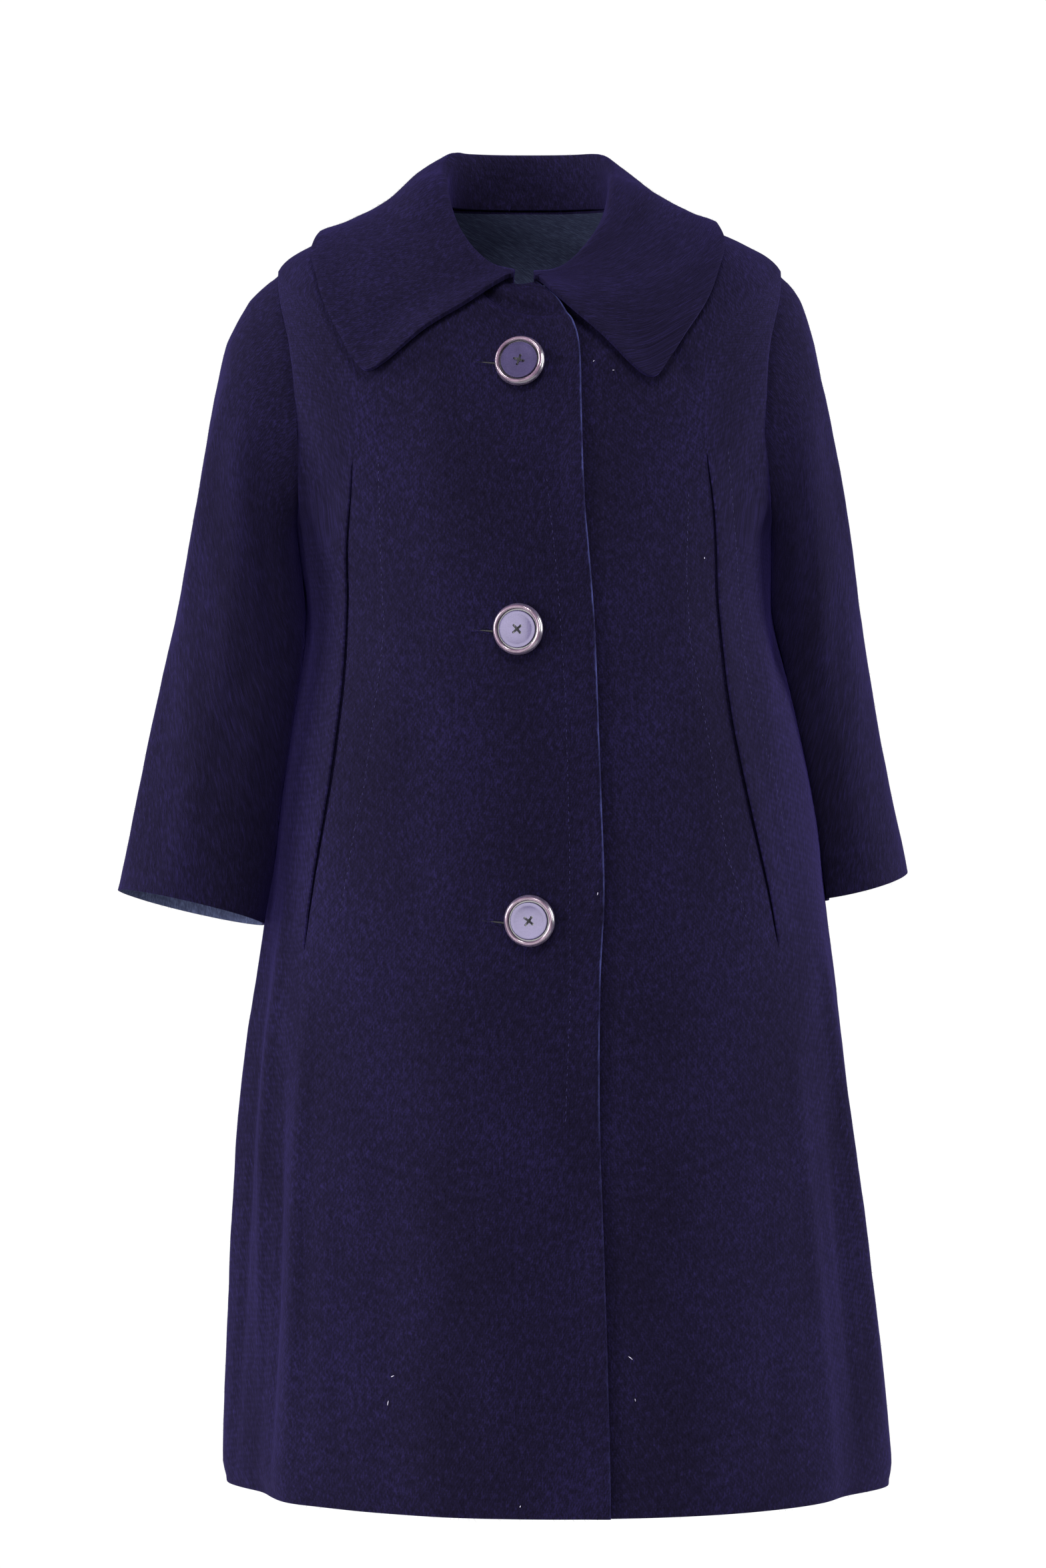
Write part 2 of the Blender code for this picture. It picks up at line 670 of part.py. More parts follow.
for wearer_side in ("right", "left"):
    make_front(wearer_side, navy)
    make_facing(wearer_side, reverse)
    make_sleeve(wearer_side, navy)
make_back(navy)
make_collar(navy)
for button in BUTTONS:
    make_button(button, plum, rim, lilac)
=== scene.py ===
"""Swing coat of a double-faced wool and mohair twill, in the form it has when it is worn.

Metres, +Z up. The front of the coat faces -Y and the wearer's left is +X. "Right" and "left" are the
wearer's. Each section below is one piece of the coat, in the order a maker puts it together.
"""

import math
from collections import namedtuple
from functools import lru_cache

import bmesh
import bpy
import numpy as np
from mathutils import Matrix, Vector, noise
from mathutils.bvhtree import BVHTree


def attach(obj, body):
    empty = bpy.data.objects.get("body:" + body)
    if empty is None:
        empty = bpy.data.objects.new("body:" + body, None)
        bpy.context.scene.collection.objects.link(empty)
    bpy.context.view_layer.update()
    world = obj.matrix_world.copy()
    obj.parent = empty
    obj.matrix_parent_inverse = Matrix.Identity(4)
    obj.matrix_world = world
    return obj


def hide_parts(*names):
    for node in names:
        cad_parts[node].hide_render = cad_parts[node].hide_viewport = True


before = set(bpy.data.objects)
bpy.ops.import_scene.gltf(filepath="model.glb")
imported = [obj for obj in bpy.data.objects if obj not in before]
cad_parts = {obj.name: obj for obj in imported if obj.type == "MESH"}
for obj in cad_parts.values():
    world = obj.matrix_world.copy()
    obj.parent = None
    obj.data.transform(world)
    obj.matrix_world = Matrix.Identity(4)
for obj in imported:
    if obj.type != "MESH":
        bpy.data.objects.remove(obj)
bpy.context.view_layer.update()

# Camera
# The view is level with the middle of the coat, from 3 metres in front of it.
VIEW_DISTANCE = 3.0
VIEW_HEIGHT = -0.4426
FRAME_HEIGHT = 1.2455
# The side of the sensor along the picture's height, in millimetres
SENSOR = 36.0


def put_in_scene(name, data):
    """A new object with this data, linked to the scene."""
    thing = bpy.data.objects.new(name, data)
    bpy.context.scene.collection.objects.link(thing)
    return thing


lens_data = bpy.data.cameras.new("front_view")
lens_data.sensor_width = SENSOR
lens_data.lens = SENSOR * VIEW_DISTANCE / FRAME_HEIGHT
front_view = put_in_scene("front_view", lens_data)
front_view.location = (0, -VIEW_DISTANCE, VIEW_HEIGHT)
front_view.rotation_euler = (math.radians(90), 0, 0)
bpy.context.scene.camera = front_view

# Right front
# The wearer's right front laps over the left one and carries the buttonholes. It is cut in one piece
# with its shoulder, from coating woven navy on one face and slate blue on the other, and a long pocket
# slit with turned lips is cut through it.
WALL = 0.0022
SEAM_HALF_GAP = 0.00002
LAP_RISE = 0.0030

# Each row is one level of the body in millimetres, from the neck seam (row 0) to the hem (row 18).
BodyRing = namedtuple(
    "BodyRing",
    "side_z front_z back_z centre_x half_width front_depth back_depth front_inset back_inset"
    " lap_x slit_right_x slit_left_x",
)
BODY_SIZES = (
    (16, -60, 20, 4, 68, 78, 62, 0, 0, 11, -45, 49),
    (9, -72, 8, 4, 98, 91, 79, 0, 0, 23.5, -65, 70),
    (-1, -88, -10, 5, 135, 103, 93, 0, 0, 35.5, -88, 94),
    (-15, -105, -30, 5, 169, 113, 104, 0, 0, 42, -108, 115),
    (-36, -124, -52, 5, 198, 121, 112, 0, 0, 43.8, -121, 130),
    (-80, -150, -90, 5, 207, 127, 117, 18, 12, 44.1, -126, 136),
    (-125, -178, -132, 6, 212, 133, 121, 28, 20, 44.6, -128, 139),
    (-170, -206, -174, 7, 209, 139, 124, 26, 18, 45.3, -130, 141),
    (-215, -234, -216, 9, 199, 143, 127, 15, 11, 46.5, -132, 145),
    (-255, -262, -255, 10, 189, 147, 130, 0, 0, 49, -134, 147),
    (-315, -315, -315, 13, 185, 150, 134, 0, 0, 53, -134, 149),
    (-385, -385, -385, 16, 199, 153, 139, 0, 0, 56, -139, 157),
    (-455, -455, -455, 18, 211, 157, 145, 0, 0, 58.5, -149, 171),
    (-525, -525, -525, 20, 218, 161, 151, 0, 0, 60.5, -161, 187),
    (-600, -600, -600, 20, 227, 166, 158, 0, 0, 57.5, -171, 200),
    (-690, -690, -690, 20, 237, 173, 167, 0, 0, 57, -179, 209),
    (-780, -780, -780, 23, 245, 181, 177, 0, 0, 59.5, -184, 215),
    (-880, -880, -880, 26, 253, 190, 188, 0, 0, 62.5, -189, 221),
    (-988, -988, -988, 28, 261, 200, 200, 0, 0, 65, -195, 227),
)
BODY_RINGS = [BodyRing(*(size / 1000 for size in sizes)) for sizes in BODY_SIZES]
SHOULDER_ROW = 4
UNDERARM_ROW = 9
HEM_ROW = len(BODY_RINGS) - 1
ROUNDNESS = 2.2
SLOPE_POWER = 1.5

# The large soft folds: degrees from centre front, rise at the hem, spread in degrees, and top
BodyFold = namedtuple("BodyFold", "angle rise spread top_z")
BODY_FOLDS = (
    BodyFold(-79, 0.006, 7, -0.50),
    BodyFold(-64, -0.006, 6, -0.56),
    BodyFold(-50, 0.004, 6, -0.62),
    BodyFold(58, -0.005, 6, -0.60),
    BodyFold(74, 0.007, 7, -0.48),
    BodyFold(112, -0.010, 9, -0.45),
    BodyFold(133, 0.010, 9, -0.36),
    BodyFold(158, -0.011, 10, -0.42),
    BodyFold(184, 0.009, 10, -0.34),
    BodyFold(209, -0.011, 10, -0.40),
    BodyFold(234, 0.009, 9, -0.38),
    BodyFold(255, -0.008, 8, -0.50),
)
LAP_START_X = -0.105
LAP_FLAT_X = -0.055

PocketSlit = namedtuple("PocketSlit", "top_row foot_row half_gap")
SLITS = {"right": PocketSlit(7.07, 13.60, 0.0013), "left": PocketSlit(6.85, 13.56, 0.0015)}
SLIT_LIP_RISE = 0.0024
SLIT_LIP_WIDTH = 0.018
SLIT_LEAN = 1.15
SLIT_BLUNTNESS = 0.25
SLIT_TOP_SHARE = 0.75
SLIT_FOOT_SHARE = 1.15
LEAST_SLIT = 1e-5

# Cells of the fine grid: from 2 mm each at the neck and the edges to 6 mm in the skirt
LAP_TO_SLIT_CELLS = 60
SLIT_TO_SEAM_CELLS = 36
YOKE_CELLS = 36
ARMHOLE_CELLS = 50
SKIRT_CELLS = 130

# Creases of the cloth: each is a soft ridge, or a trough where its rise is negative, from one place to
# another. On the body a place is degrees from centre front and a row of the table above. The rise and
# the width are in millimetres.
Crease = namedtuple("Crease", "from_side from_row to_side to_row rise width")
RIGHT_FRONT_CREASES = (
    (-31, 0.42, 16, 2.10, -6, 5),
    (-22, 0.15, 13, 1.35, 2, 6),
    (-12, 1.8, 8, 2.6, 0.9, 6),
    (-11, 3.3, -17, 4.3, -1, 4),
    (-12, 4.2, -19, 3.6, 0.9, 4),
    (-12, 10.2, -18, 10.6, -1, 4),
    (-11, 13.2, -16, 13.7, -0.9, 4),
    (-62, 6.1, -45, 8.2, -2.4, 14),
    (-66, 7.6, -50, 9.6, 1.8, 10),
    (-84, 9.4, -62, 11.4, -2, 12),
    (-36, 8.2, -31, 13.6, 1.1, 13),
    (-24, 9.0, -22, 15.0, -0.9, 18),
    (-83, 12.6, -81, 17.7, 5.6, 8),
    (-75, 13.4, -73, 18.0, -5, 8),
    (-67, 12.8, -65, 17.6, 5.6, 8),
    (-59, 14.4, -57, 18.0, -4.4, 8),
    (-52, 13.9, -50, 17.8, 3.6, 9),
    (-43, 15.4, -42, 18.0, 1.8, 12),
    (-31, 14.6, -28, 18.0, -1.4, 16),
    (-10, 15.2, -8, 18.0, 1, 18),
)


def between(rows, place):
    """The row at a fractional place in a table, on a smooth curve through its rows."""
    first = min(max(int(place), 0), len(rows) - 2)
    share = place - first
    before = rows[max(first - 1, 0)]
    after = rows[min(first + 2, len(rows) - 1)]
    values = []
    for a, b, c, d in zip(before, rows[first], rows[first + 1], after):
        slope_b = (c - a) / 2
        slope_c = (d - b) / 2
        bend = 2 * (b - c) + slope_b + slope_c
        lean = 3 * (c - b) - 2 * slope_b - slope_c
        values.append(((bend * share + lean) * share + slope_b) * share + b)
    return type(rows[0])(*values)


@lru_cache(maxsize=None)
def body_ring(row):
    return between(BODY_RINGS, row)


def signed_power(value, power):
    return math.copysign(abs(value) ** power, value)


def smooth_step(value, low, high):
    share = min(max((value - low) / (high - low), 0.0), 1.0)
    return share * share * (3 - 2 * share)


def mix(first, second, share):
    return first + (second - first) * share


def fold_rise(angle, z):
    """How far the body's large folds stand out at this angle and height."""
    rise = 0.0
    for fold in BODY_FOLDS:
        turn = math.degrees(angle) - fold.angle
        turn = (turn + 180) % 360 - 180
        growth = smooth_step(z, fold.top_z, BODY_RINGS[HEM_ROW].side_z)
        rise += fold.rise * growth * math.exp(-((turn / fold.spread) ** 2))
    return rise


def body_point(angle, row):
    """A point of the body's cloth, by its angle from centre front and its row in the table."""
    ring = body_ring(row)
    across = math.sin(angle)
    along = math.cos(angle)
    depth = ring.front_depth if along > 0 else ring.back_depth
    level = ring.front_z if along > 0 else ring.back_z
    z = ring.side_z + (level - ring.side_z) * abs(along) ** SLOPE_POWER
    rise = fold_rise(angle, z)
    x = (ring.half_width + rise) * signed_power(across, 2 / ROUNDNESS)
    y = -(depth + rise) * signed_power(along, 2 / ROUNDNESS)
    return Vector((ring.centre_x + x, y, z))


def body_directions(angle, row):
    """The directions around, down and out of the body's cloth at that point."""
    step = 0.01
    high = max(row - step, 0.0)
    low = min(row + step, float(HEM_ROW))
    around = (body_point(angle + step, row) - body_point(angle - step, row)).normalized()
    down = (body_point(angle, low) - body_point(angle, high)).normalized()
    return around, down, down.cross(around).normalized()


def angle_at(row, x):
    """The angle on the front half where the body's cloth lies at x."""
    ring = body_ring(row)
    share = (x - ring.centre_x) / ring.half_width
    share = min(max(share, -1.0), 1.0)
    return math.asin(signed_power(share, ROUNDNESS / 2))


def seam_angle(row, part):
    """How far round, from centre front, the front or back reaches: to its side seam or armhole."""
    ring = body_ring(row)
    inset = ring.front_inset if part == "front" else ring.back_inset
    depth = ring.front_depth if part == "front" else ring.back_depth
    in_armhole = SHOULDER_ROW < row < UNDERARM_ROW
    if in_armhole and inset > 0:
        angle = math.asin((1 - inset / ring.half_width) ** (ROUNDNESS / 2))
    else:
        angle = math.acos((SEAM_HALF_GAP / depth) ** (ROUNDNESS / 2))
    return angle if part == "front" else math.pi - angle


def lap_rise(x):
    """How far the right front stands out to lap over the left one."""
    return LAP_RISE * smooth_step(x, LAP_START_X, LAP_FLAT_X)


def slit_opening(side, row):
    """How open the pocket slit is at this row, from 0 at its ends, with the widest place low down."""
    slit = SLITS[side]
    share = (row - slit.top_row) / (slit.foot_row - slit.top_row)
    if not 0 < share < 1:
        return 0.0
    spread = mix(SLIT_TOP_SHARE, SLIT_FOOT_SHARE, share)
    return math.sin(math.pi * share**SLIT_LEAN) ** SLIT_BLUNTNESS * spread


def slit_x(side, row):
    ring = body_ring(row)
    return ring.slit_right_x if side == "right" else ring.slit_left_x


def front_point(side, place, row, slit_side):
    """A point of a front and its outward direction, from place 0 at the edge to 2 at the seam.

    The slit is at 1, and slit_side tells its two lips apart."""
    ring = body_ring(row)
    sign = -1 if side == "right" else 1
    edge_x = ring.lap_x if side == "right" else 2 * ring.centre_x - ring.lap_x
    edge = angle_at(row, edge_x)
    slit = angle_at(row, slit_x(side, row))
    seam = sign * seam_angle(row, "front")
    angle = mix(edge, slit, place) if place <= 1 else mix(slit, seam, place - 1)
    point = body_point(angle, row)
    around, _, out = body_directions(angle, row)
    rise = lap_rise(point.x) if side == "right" else 0.0
    near = 1 - smooth_step(abs(point.x - slit_x(side, row)), 0.0, SLIT_LIP_WIDTH)
    opening = slit_opening(side, row) * near
    beyond = place > 1 or slit_side > 0
    if beyond:
        rise += SLIT_LIP_RISE * opening
    part = sign * (1 if beyond else -1) * SLITS[side].half_gap * opening
    return point + out * rise + around * part, out


def crowded(share):
    """The share, with its steps made closer at both ends."""
    return share - 0.5 * math.sin(2 * math.pi * share) / (2 * math.pi)


def even_rows():
    """The body rows of the fine grid, closest together at the neck."""
    yoke = np.linspace(0, SHOULDER_ROW, YOKE_CELLS, endpoint=False)
    armhole = np.linspace(SHOULDER_ROW, UNDERARM_ROW, ARMHOLE_CELLS, endpoint=False)
    skirt = np.linspace(UNDERARM_ROW, HEM_ROW, SKIRT_CELLS + 1)
    return [float(row) for row in np.concatenate([yoke, armhole, skirt])]


# Each crease is followed along this many straight runs, and its ends are as blunt as this power says.
CREASE_RUNS = 14
CREASE_BLUNTNESS = 0.8
# The cloth's own unevenness: a slow waver and a short one
WAVER_SIZE = 0.055
WAVER_DEPTH = 0.0007
PUCKER_SIZE = 0.013
PUCKER_DEPTH = 0.00022


def fading(distance, width):
    """1 on a line, and less and less beside it."""
    return np.exp(-((distance / width) ** 2))


def crease_rise(points, creases, place_of):
    """How far each point moves out for a table of creases, which taper to nothing at their ends."""
    rise = np.zeros(points.shape[:2])
    for crease in (Crease(*row) for row in creases):
        line = []
        for step in range(CREASE_RUNS + 1):
            side = mix(crease.from_side, crease.to_side, step / CREASE_RUNS)
            row = mix(crease.from_row, crease.to_row, step / CREASE_RUNS)
            line.append(place_of(side, row))
        line = np.array(line)
        nearest = np.full(rise.shape, 1.0)
        along = np.zeros(rise.shape)
        for step in range(CREASE_RUNS):
            run = line[step + 1] - line[step]
            share = np.clip((points - line[step]) @ run / (run @ run), 0, 1)
            distance = np.linalg.norm(points - line[step] - share[:, :, None] * run, axis=2)
            closer = distance < nearest
            nearest = np.where(closer, distance, nearest)
            along = np.where(closer, (step + share) / CREASE_RUNS, along)
        taper = np.sin(math.pi * along) ** CREASE_BLUNTNESS
        rise += crease.rise / 1000 * taper * fading(nearest, crease.width / 1000)
    return rise


def woolly(points, seed):
    """How far each point moves for the cloth's own unevenness."""
    shift = Vector((seed * 3.1, seed * 1.7, 0))
    rise = np.zeros(points.shape[:2])
    for row, column in np.ndindex(rise.shape):
        place = Vector(points[row, column])
        waver = noise.noise(place / WAVER_SIZE + shift)
        pucker = noise.noise(place / PUCKER_SIZE + shift)
        rise[row, column] = WAVER_DEPTH * waver + PUCKER_DEPTH * pucker
    return rise


def flat_sizes(points):
    """How far along the cloth each point lies from the grid's first column and first row."""
    across = np.linalg.norm(np.diff(points, axis=1), axis=2)
    down = np.linalg.norm(np.diff(points, axis=0), axis=2)
    rows, columns = points.shape[:2]
    u = np.concatenate([np.zeros((rows, 1)), np.cumsum(across, axis=1)], axis=1)
    v = np.concatenate([np.zeros((1, columns)), np.cumsum(down, axis=0)], axis=0)
    return u, v


# How far the cloth rolls in at its seams and hem, or lifts at the lap's fold, and over what width
SEAM_DIP = 0.0014
SEAM_DIP_WIDTH = 0.0042
HEM_ROLL = 0.0042
HEM_ROLL_WIDTH = 0.011
LAP_LIFT = 0.0030
LAP_LIFT_WIDTH = 0.013
# At the head of the sleeve it rolls in deeper by this share, down to between these two rows.
HEAD_EXTRA_DIP = 0.6
HEAD_DIP_ROWS = (SHOULDER_ROW + 1.2, SHOULDER_ROW + 2.4)


def sewn_edge_dip(distance):
    """Cloth rolls in where it is sewn to its neighbour."""
    return -SEAM_DIP * fading(distance, SEAM_DIP_WIDTH)


def armhole_depth(rows):
    """How many times deeper the cloth rolls in at each row: most at the head of the sleeve."""
    shares = [(1 - smooth_step(row, *HEAD_DIP_ROWS)) * (row > SHOULDER_ROW) for row in rows]
    return np.array([[1 + HEAD_EXTRA_DIP * share] for share in shares])


def hem_roll(distance):
    """A turned-up hem is soft, and rolls in towards its fold."""
    return -HEM_ROLL * fading(distance, HEM_ROLL_WIDTH)


def lap_edge_lift(from_edge, down):
    """The lap's fold lifts off the front below it, more in some places than in others."""
    uneven = LAP_LIFT + 0.0006 * np.sin(down * 17) + 0.0005 * np.sin(down * 41 + 1)
    return uneven * fading(from_edge, LAP_LIFT_WIDTH)


def sheet_of(points, flat_u, flat_v, slit_column=None, inside_out=False):
    """An open sheet: a grid whose vertices move to these points, with its flat sizes as its UV map.

    The grid has two columns of points along a slit, and the cells between them are taken out."""
    rows, columns = points.shape[0] - 1, points.shape[1] - 1
    bm = bmesh.new()
    bmesh.ops.create_grid(bm, x_segments=columns, y_segments=rows, size=0.5)
    flat = bm.loops.layers.uv.new("flat")
    cell = {}
    for vert in bm.verts:
        cell[vert] = (round((vert.co.y + 0.5) * rows), round((vert.co.x + 0.5) * columns))
    for face in bm.faces:
        for loop in face.loops:
            loop[flat].uv = (flat_u[cell[loop.vert]], flat_v[cell[loop.vert]])
    for vert, place in cell.items():
        vert.co = points[place]
    if slit_column is not None:
        opened = []
        for face in bm.faces:
            columns_met = {cell[vert][1] for vert in face.verts}
            across = [edge for edge in face.edges if is_across(edge, cell)]
            width = max(edge.calc_length() for edge in across)
            if columns_met == {slit_column, slit_column + 1} and width > LEAST_SLIT:
                opened.append(face)
        bmesh.ops.delete(bm, geom=opened, context="FACES")
    bmesh.ops.remove_doubles(bm, verts=bm.verts, dist=1e-6)
    if inside_out:
        bmesh.ops.reverse_faces(bm, faces=bm.faces)
    return bm


def is_across(edge, cell):
    return cell[edge.verts[0]][0] == cell[edge.verts[1]][0]


def mesh_of(name, bm):
    """The finished bmesh as a mesh."""
    mesh = bpy.data.meshes.new(name)
    bm.to_mesh(mesh)
    bm.free()
    return mesh


def cloth_piece(name, bm, wall, finishes, edge_round=0.0007):
    """The finished cloth: the sheet gets its wall, its reverse face and softly rounded edges."""
    mesh = mesh_of(name, bm)
    mesh.shade_smooth()
    for finish in finishes:
        mesh.materials.append(finish)
    piece = put_in_scene(name, mesh)
    thickness = piece.modifiers.new("Wall", "SOLIDIFY")
    thickness.thickness = wall
    thickness.offset = 0
    thickness.material_offset = 1
    thickness.material_offset_rim = 2
    rounding = piece.modifiers.new("Rounded edges", "BEVEL")
    rounding.width = edge_round
    rounding.segments = 2
    rounding.limit_method = "ANGLE"
    rounding.angle_limit = math.radians(50)
    rounding.material = 2
    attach(piece, "root")
    return piece


def linear(hex_colour):
    """The linear colour of an sRGB hex value."""
    parts = [int(hex_colour[start : start + 2], 16) / 255 for start in (0, 2, 4)]
    return tuple(p / 12.92 if p <= 0.04045 else ((p + 0.055) / 1.055) ** 2.4 for p in parts) + (1,)


def set_inputs(node, inputs):
    """Gives each input a value, or the output that feeds it."""
    for name, value in inputs.items():
        if isinstance(value, bpy.types.NodeSocket):
            node.id_data.links.new(value, node.inputs[name])
        else:
            node.inputs[name].default_value = value


def add_node(tree, kind, inputs=None, **settings):
    """Adds a node with its settings, and its inputs' values and links."""
    node = tree.nodes.new(kind)
    for name, value in settings.items():
        setattr(node, name, value)
    set_inputs(node, inputs or {})
    return node


def new_finish(name):
    """A new material, with its node tree and its shader."""
    material = bpy.data.materials.new(name)
    material.use_nodes = True
    return material, material.node_tree, material.node_tree.nodes["Principled BSDF"]


def dyed(tree, pattern, tones):
    """The colours that a pattern runs through, as (place, hex colour) tones."""
    dye = add_node(tree, "ShaderNodeValToRGB", {"Fac": pattern})
    elements = dye.color_ramp.elements
    while len(elements) < len(tones):
        elements.new(0.5)
    for element, (place, colour) in zip(elements, tones):
        element.position = place
        element.color = linear(colour)
    return dye.outputs["Color"]


def speckled(name, speck_size, tones, inputs, detail=2.0):
    """A plain fibre or paint, whose colour varies a little in specks of one size."""
    material, tree, shader = new_finish(name)
    place = add_node(tree, "ShaderNodeTexCoord").outputs["Object"]
    pattern = {"Vector": place, "Scale": 1 / speck_size, "Detail": detail}
    specks = add_node(tree, "ShaderNodeTexNoise", pattern).outputs["Fac"]
    set_inputs(shader, {"Base Color": dyed(tree, specks, tones)})
    set_inputs(shader, inputs)
    return material


# The real wales lie 1 to 2 mm apart and the yarns are under 1 mm wide. All are drawn a little coarser, so
# that they show.
WALE_SPACING = 0.0021
YARN_WIDTH = 0.0011
FIBRE_LENGTH = 0.0034
CURL_WIDTH = 0.0035
SHADE_PATCH = 0.075


WALE_TURN = math.radians(33)
EDGE_RAGGEDNESS = 0.0016


def brushed_twill(name, dark, middle, bright, sheen_colour, sheen, pale_edge_and_highlight=None):
    """A face of the coating: 2/2 twill of wool and mohair, fulled and brushed down.

    Its slanting wales are almost hidden by brighter mohair fibres, which lie over them along the cloth.
    A soft nap scatters light, so it is almost wholly rough and has sheen. A pale edge at the first column
    of its flat pattern is partly the reverse where the cloth turns and partly a painted highlight on the
    fold."""
    material, tree, shader = new_finish(name)
    flat = add_node(tree, "ShaderNodeUVMap", uv_map="flat").outputs["UV"]

    def streaks(width, length, detail):
        """An uneven pattern in streaks of this width and length."""
        scale = (1 / width, 1 / length, 1.0)
        stretched = add_node(tree, "ShaderNodeMapping", {"Vector": flat, "Scale": scale})
        pattern = {"Vector": stretched.outputs["Vector"], "Scale": 1.0, "Detail": detail}
        return add_node(tree, "ShaderNodeTexNoise", pattern).outputs["Fac"]

    def layered(*layers):
        """The sum of patterns, each with its weight."""
        total = 0.0
        for pattern, weight in layers:
            inputs = {0: pattern, 1: weight, 2: total}
            total = add_node(tree, "ShaderNodeMath", inputs, operation="MULTIPLY_ADD").outputs[0]
        return total

    fibres = streaks(YARN_WIDTH, FIBRE_LENGTH, 3.0)
    yarns = streaks(FIBRE_LENGTH, YARN_WIDTH, 2.0)
    curls = streaks(CURL_WIDTH, CURL_WIDTH * 2, 4.0)
    shade = streaks(SHADE_PATCH, SHADE_PATCH * 1.6, 2.0)
    turned = add_node(tree, "ShaderNodeMapping", {"Vector": flat, "Rotation": (0, 0, WALE_TURN)})
    ridges = {
        "Vector": turned.outputs["Vector"],
        "Scale": 2 * math.pi / 20 / WALE_SPACING,
        "Distortion": 2.5,
        "Detail": 2.0,
        "Detail Scale": 0.6,
    }
    wales = add_node(tree, "ShaderNodeTexWave", ridges).outputs["Fac"]

    tone = layered((fibres, 0.55), (curls, 0.42), (yarns, 0.24), (wales, 0.05), (shade, 0.22))
    colour = dyed(tree, tone, ((0.47, dark), (0.74, middle), (1.0, bright)))
    if pale_edge_and_highlight:
        cut = add_node(tree, "ShaderNodeSeparateXYZ", {"Vector": flat})
        ragged = layered((curls, -EDGE_RAGGEDNESS), (cut.outputs["X"], 1.0))
        # The pale edge, partly reverse and partly painted highlight, shows at the fold itself, less in
        # the lower part, and in patches of uneven length.
        limits = (
            (ragged, -0.0004, 0.0008, 0.7, 0.0),
            (cut.outputs["Y"], 0.58, 0.72, 1.0, 0.15),
            (streaks(0.2, 0.035, 1.0), 0.38, 0.58, 0.15, 1.0),
        )
        share = 1.0
        for pattern, start, end, low, high in limits:
            span = {"Value": pattern, "From Min": start, "From Max": end, "To Min": low, "To Max": high}
            limit = add_node(tree, "ShaderNodeMapRange", span).outputs["Result"]
            product = add_node(tree, "ShaderNodeMath", {0: share, 1: limit}, operation="MULTIPLY")
            share = product.outputs[0]
        colours = {"Factor": share, "A": colour, "B": linear(pale_edge_and_highlight)}
        colour = add_node(tree, "ShaderNodeMix", colours, data_type="RGBA").outputs["Result"]

    relief = layered((wales, 0.12), (curls, 0.9), (fibres, 0.6))
    nap = add_node(tree, "ShaderNodeBump", {"Height": relief, "Strength": 0.55, "Distance": 0.0007})
    finish = {
        "Base Color": colour,
        "Normal": nap.outputs["Normal"],
        "Roughness": 0.95,
        "IOR": 1.45,
        "Specular IOR Level": 0.03,
        "Sheen Weight": sheen,
        "Sheen Roughness": 0.45,
        "Sheen Tint": linear(sheen_colour),
    }
    set_inputs(shader, finish)
    return material


# The nap's hairs: how deep they are rooted, their lengths and half widths, the share of its length that
# each stands up, and how far it strays from straight down and bends aside
HAIR_ROOT = 0.0002
HAIR_LENGTHS = (0.0014, 0.0038)
HAIR_HALF_WIDTHS = (0.00003, 0.00006)
HAIR_LIFTS = (0.15, 0.55)
HAIR_STRAY = 0.45
HAIR_SWERVE = 0.18


def nap_on(name, cloth, wall, count, seed):
    """The brushed nap: fine mohair hairs rooted in the outer face, each a blade that leans down."""
    rng = np.random.default_rng(seed)
    mesh = cloth.data
    mesh.calc_loop_triangles()
    points = np.empty(len(mesh.vertices) * 3)
    mesh.vertices.foreach_get("co", points)
    corners = np.empty(len(mesh.loop_triangles) * 3, dtype=np.int32)
    mesh.loop_triangles.foreach_get("vertices", corners)
    triangles = points.reshape(-1, 3)[corners.reshape(-1, 3)]
    sides = triangles[:, 1:] - triangles[:, :1]
    normals = np.cross(sides[:, 0], sides[:, 1])
    areas = np.linalg.norm(normals, axis=1)
    normals /= np.maximum(areas, 1e-12)[:, None]
    picked = rng.choice(len(areas), size=count, p=areas / areas.sum())
    first, second = rng.random((2, count))
    folded = first + second > 1
    first[folded] = 1 - first[folded]
    second[folded] = 1 - second[folded]
    side = sides[picked]
    out = normals[picked]
    root = triangles[picked, 0] + side[:, 0] * first[:, None] + side[:, 1] * second[:, None]
    root += out * (wall / 2 - HAIR_ROOT)
    down = np.array((0.0, 0.0, -1.0)) + out * out[:, 2:3]
    lean = down + rng.normal(0, HAIR_STRAY, (count, 3))
    lean -= out * np.sum(lean * out, axis=1)[:, None]
    lean /= np.linalg.norm(lean, axis=1)[:, None]
    length = rng.uniform(*HAIR_LENGTHS, (count, 1))
    lift = rng.uniform(*HAIR_LIFTS, (count, 1))
    middle = root + lean * length * 0.5 + out * length * lift * 0.8
    swerve = np.cross(lean, out) * rng.normal(0, HAIR_SWERVE, (count, 1))
    tip = root + (lean + swerve) * length + out * length * lift
    across = np.cross(lean, out) * rng.uniform(*HAIR_HALF_WIDTHS, (count, 1))
    blades = np.stack([root - across, root + across, middle + across, middle - across, tip], axis=1)
    start = np.arange(count)[:, None] * 5
    faces = (start + np.array((0, 1, 2, 3))).tolist() + (start + np.array((3, 2, 4))).tolist()
    hairs = bpy.data.meshes.new(name)
    hairs.from_pydata(blades.reshape(-1, 3).tolist(), [], faces)
    hairs.materials.append(mohair)
    piece = put_in_scene(name, hairs)
    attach(piece, "root")
    return piece


# Mohair: long, smooth, lustrous goat hair dyed with the cloth, so single hairs catch the light
mohair = speckled(
    "dyed_mohair_hair",
    0.003,
    ((0.35, "0B0918"), (0.55, "140F2B"), (0.75, "211A42")),
    {"Roughness": 0.65, "IOR": 1.55, "Specular IOR Level": 0.04},
    detail=1.0,
)
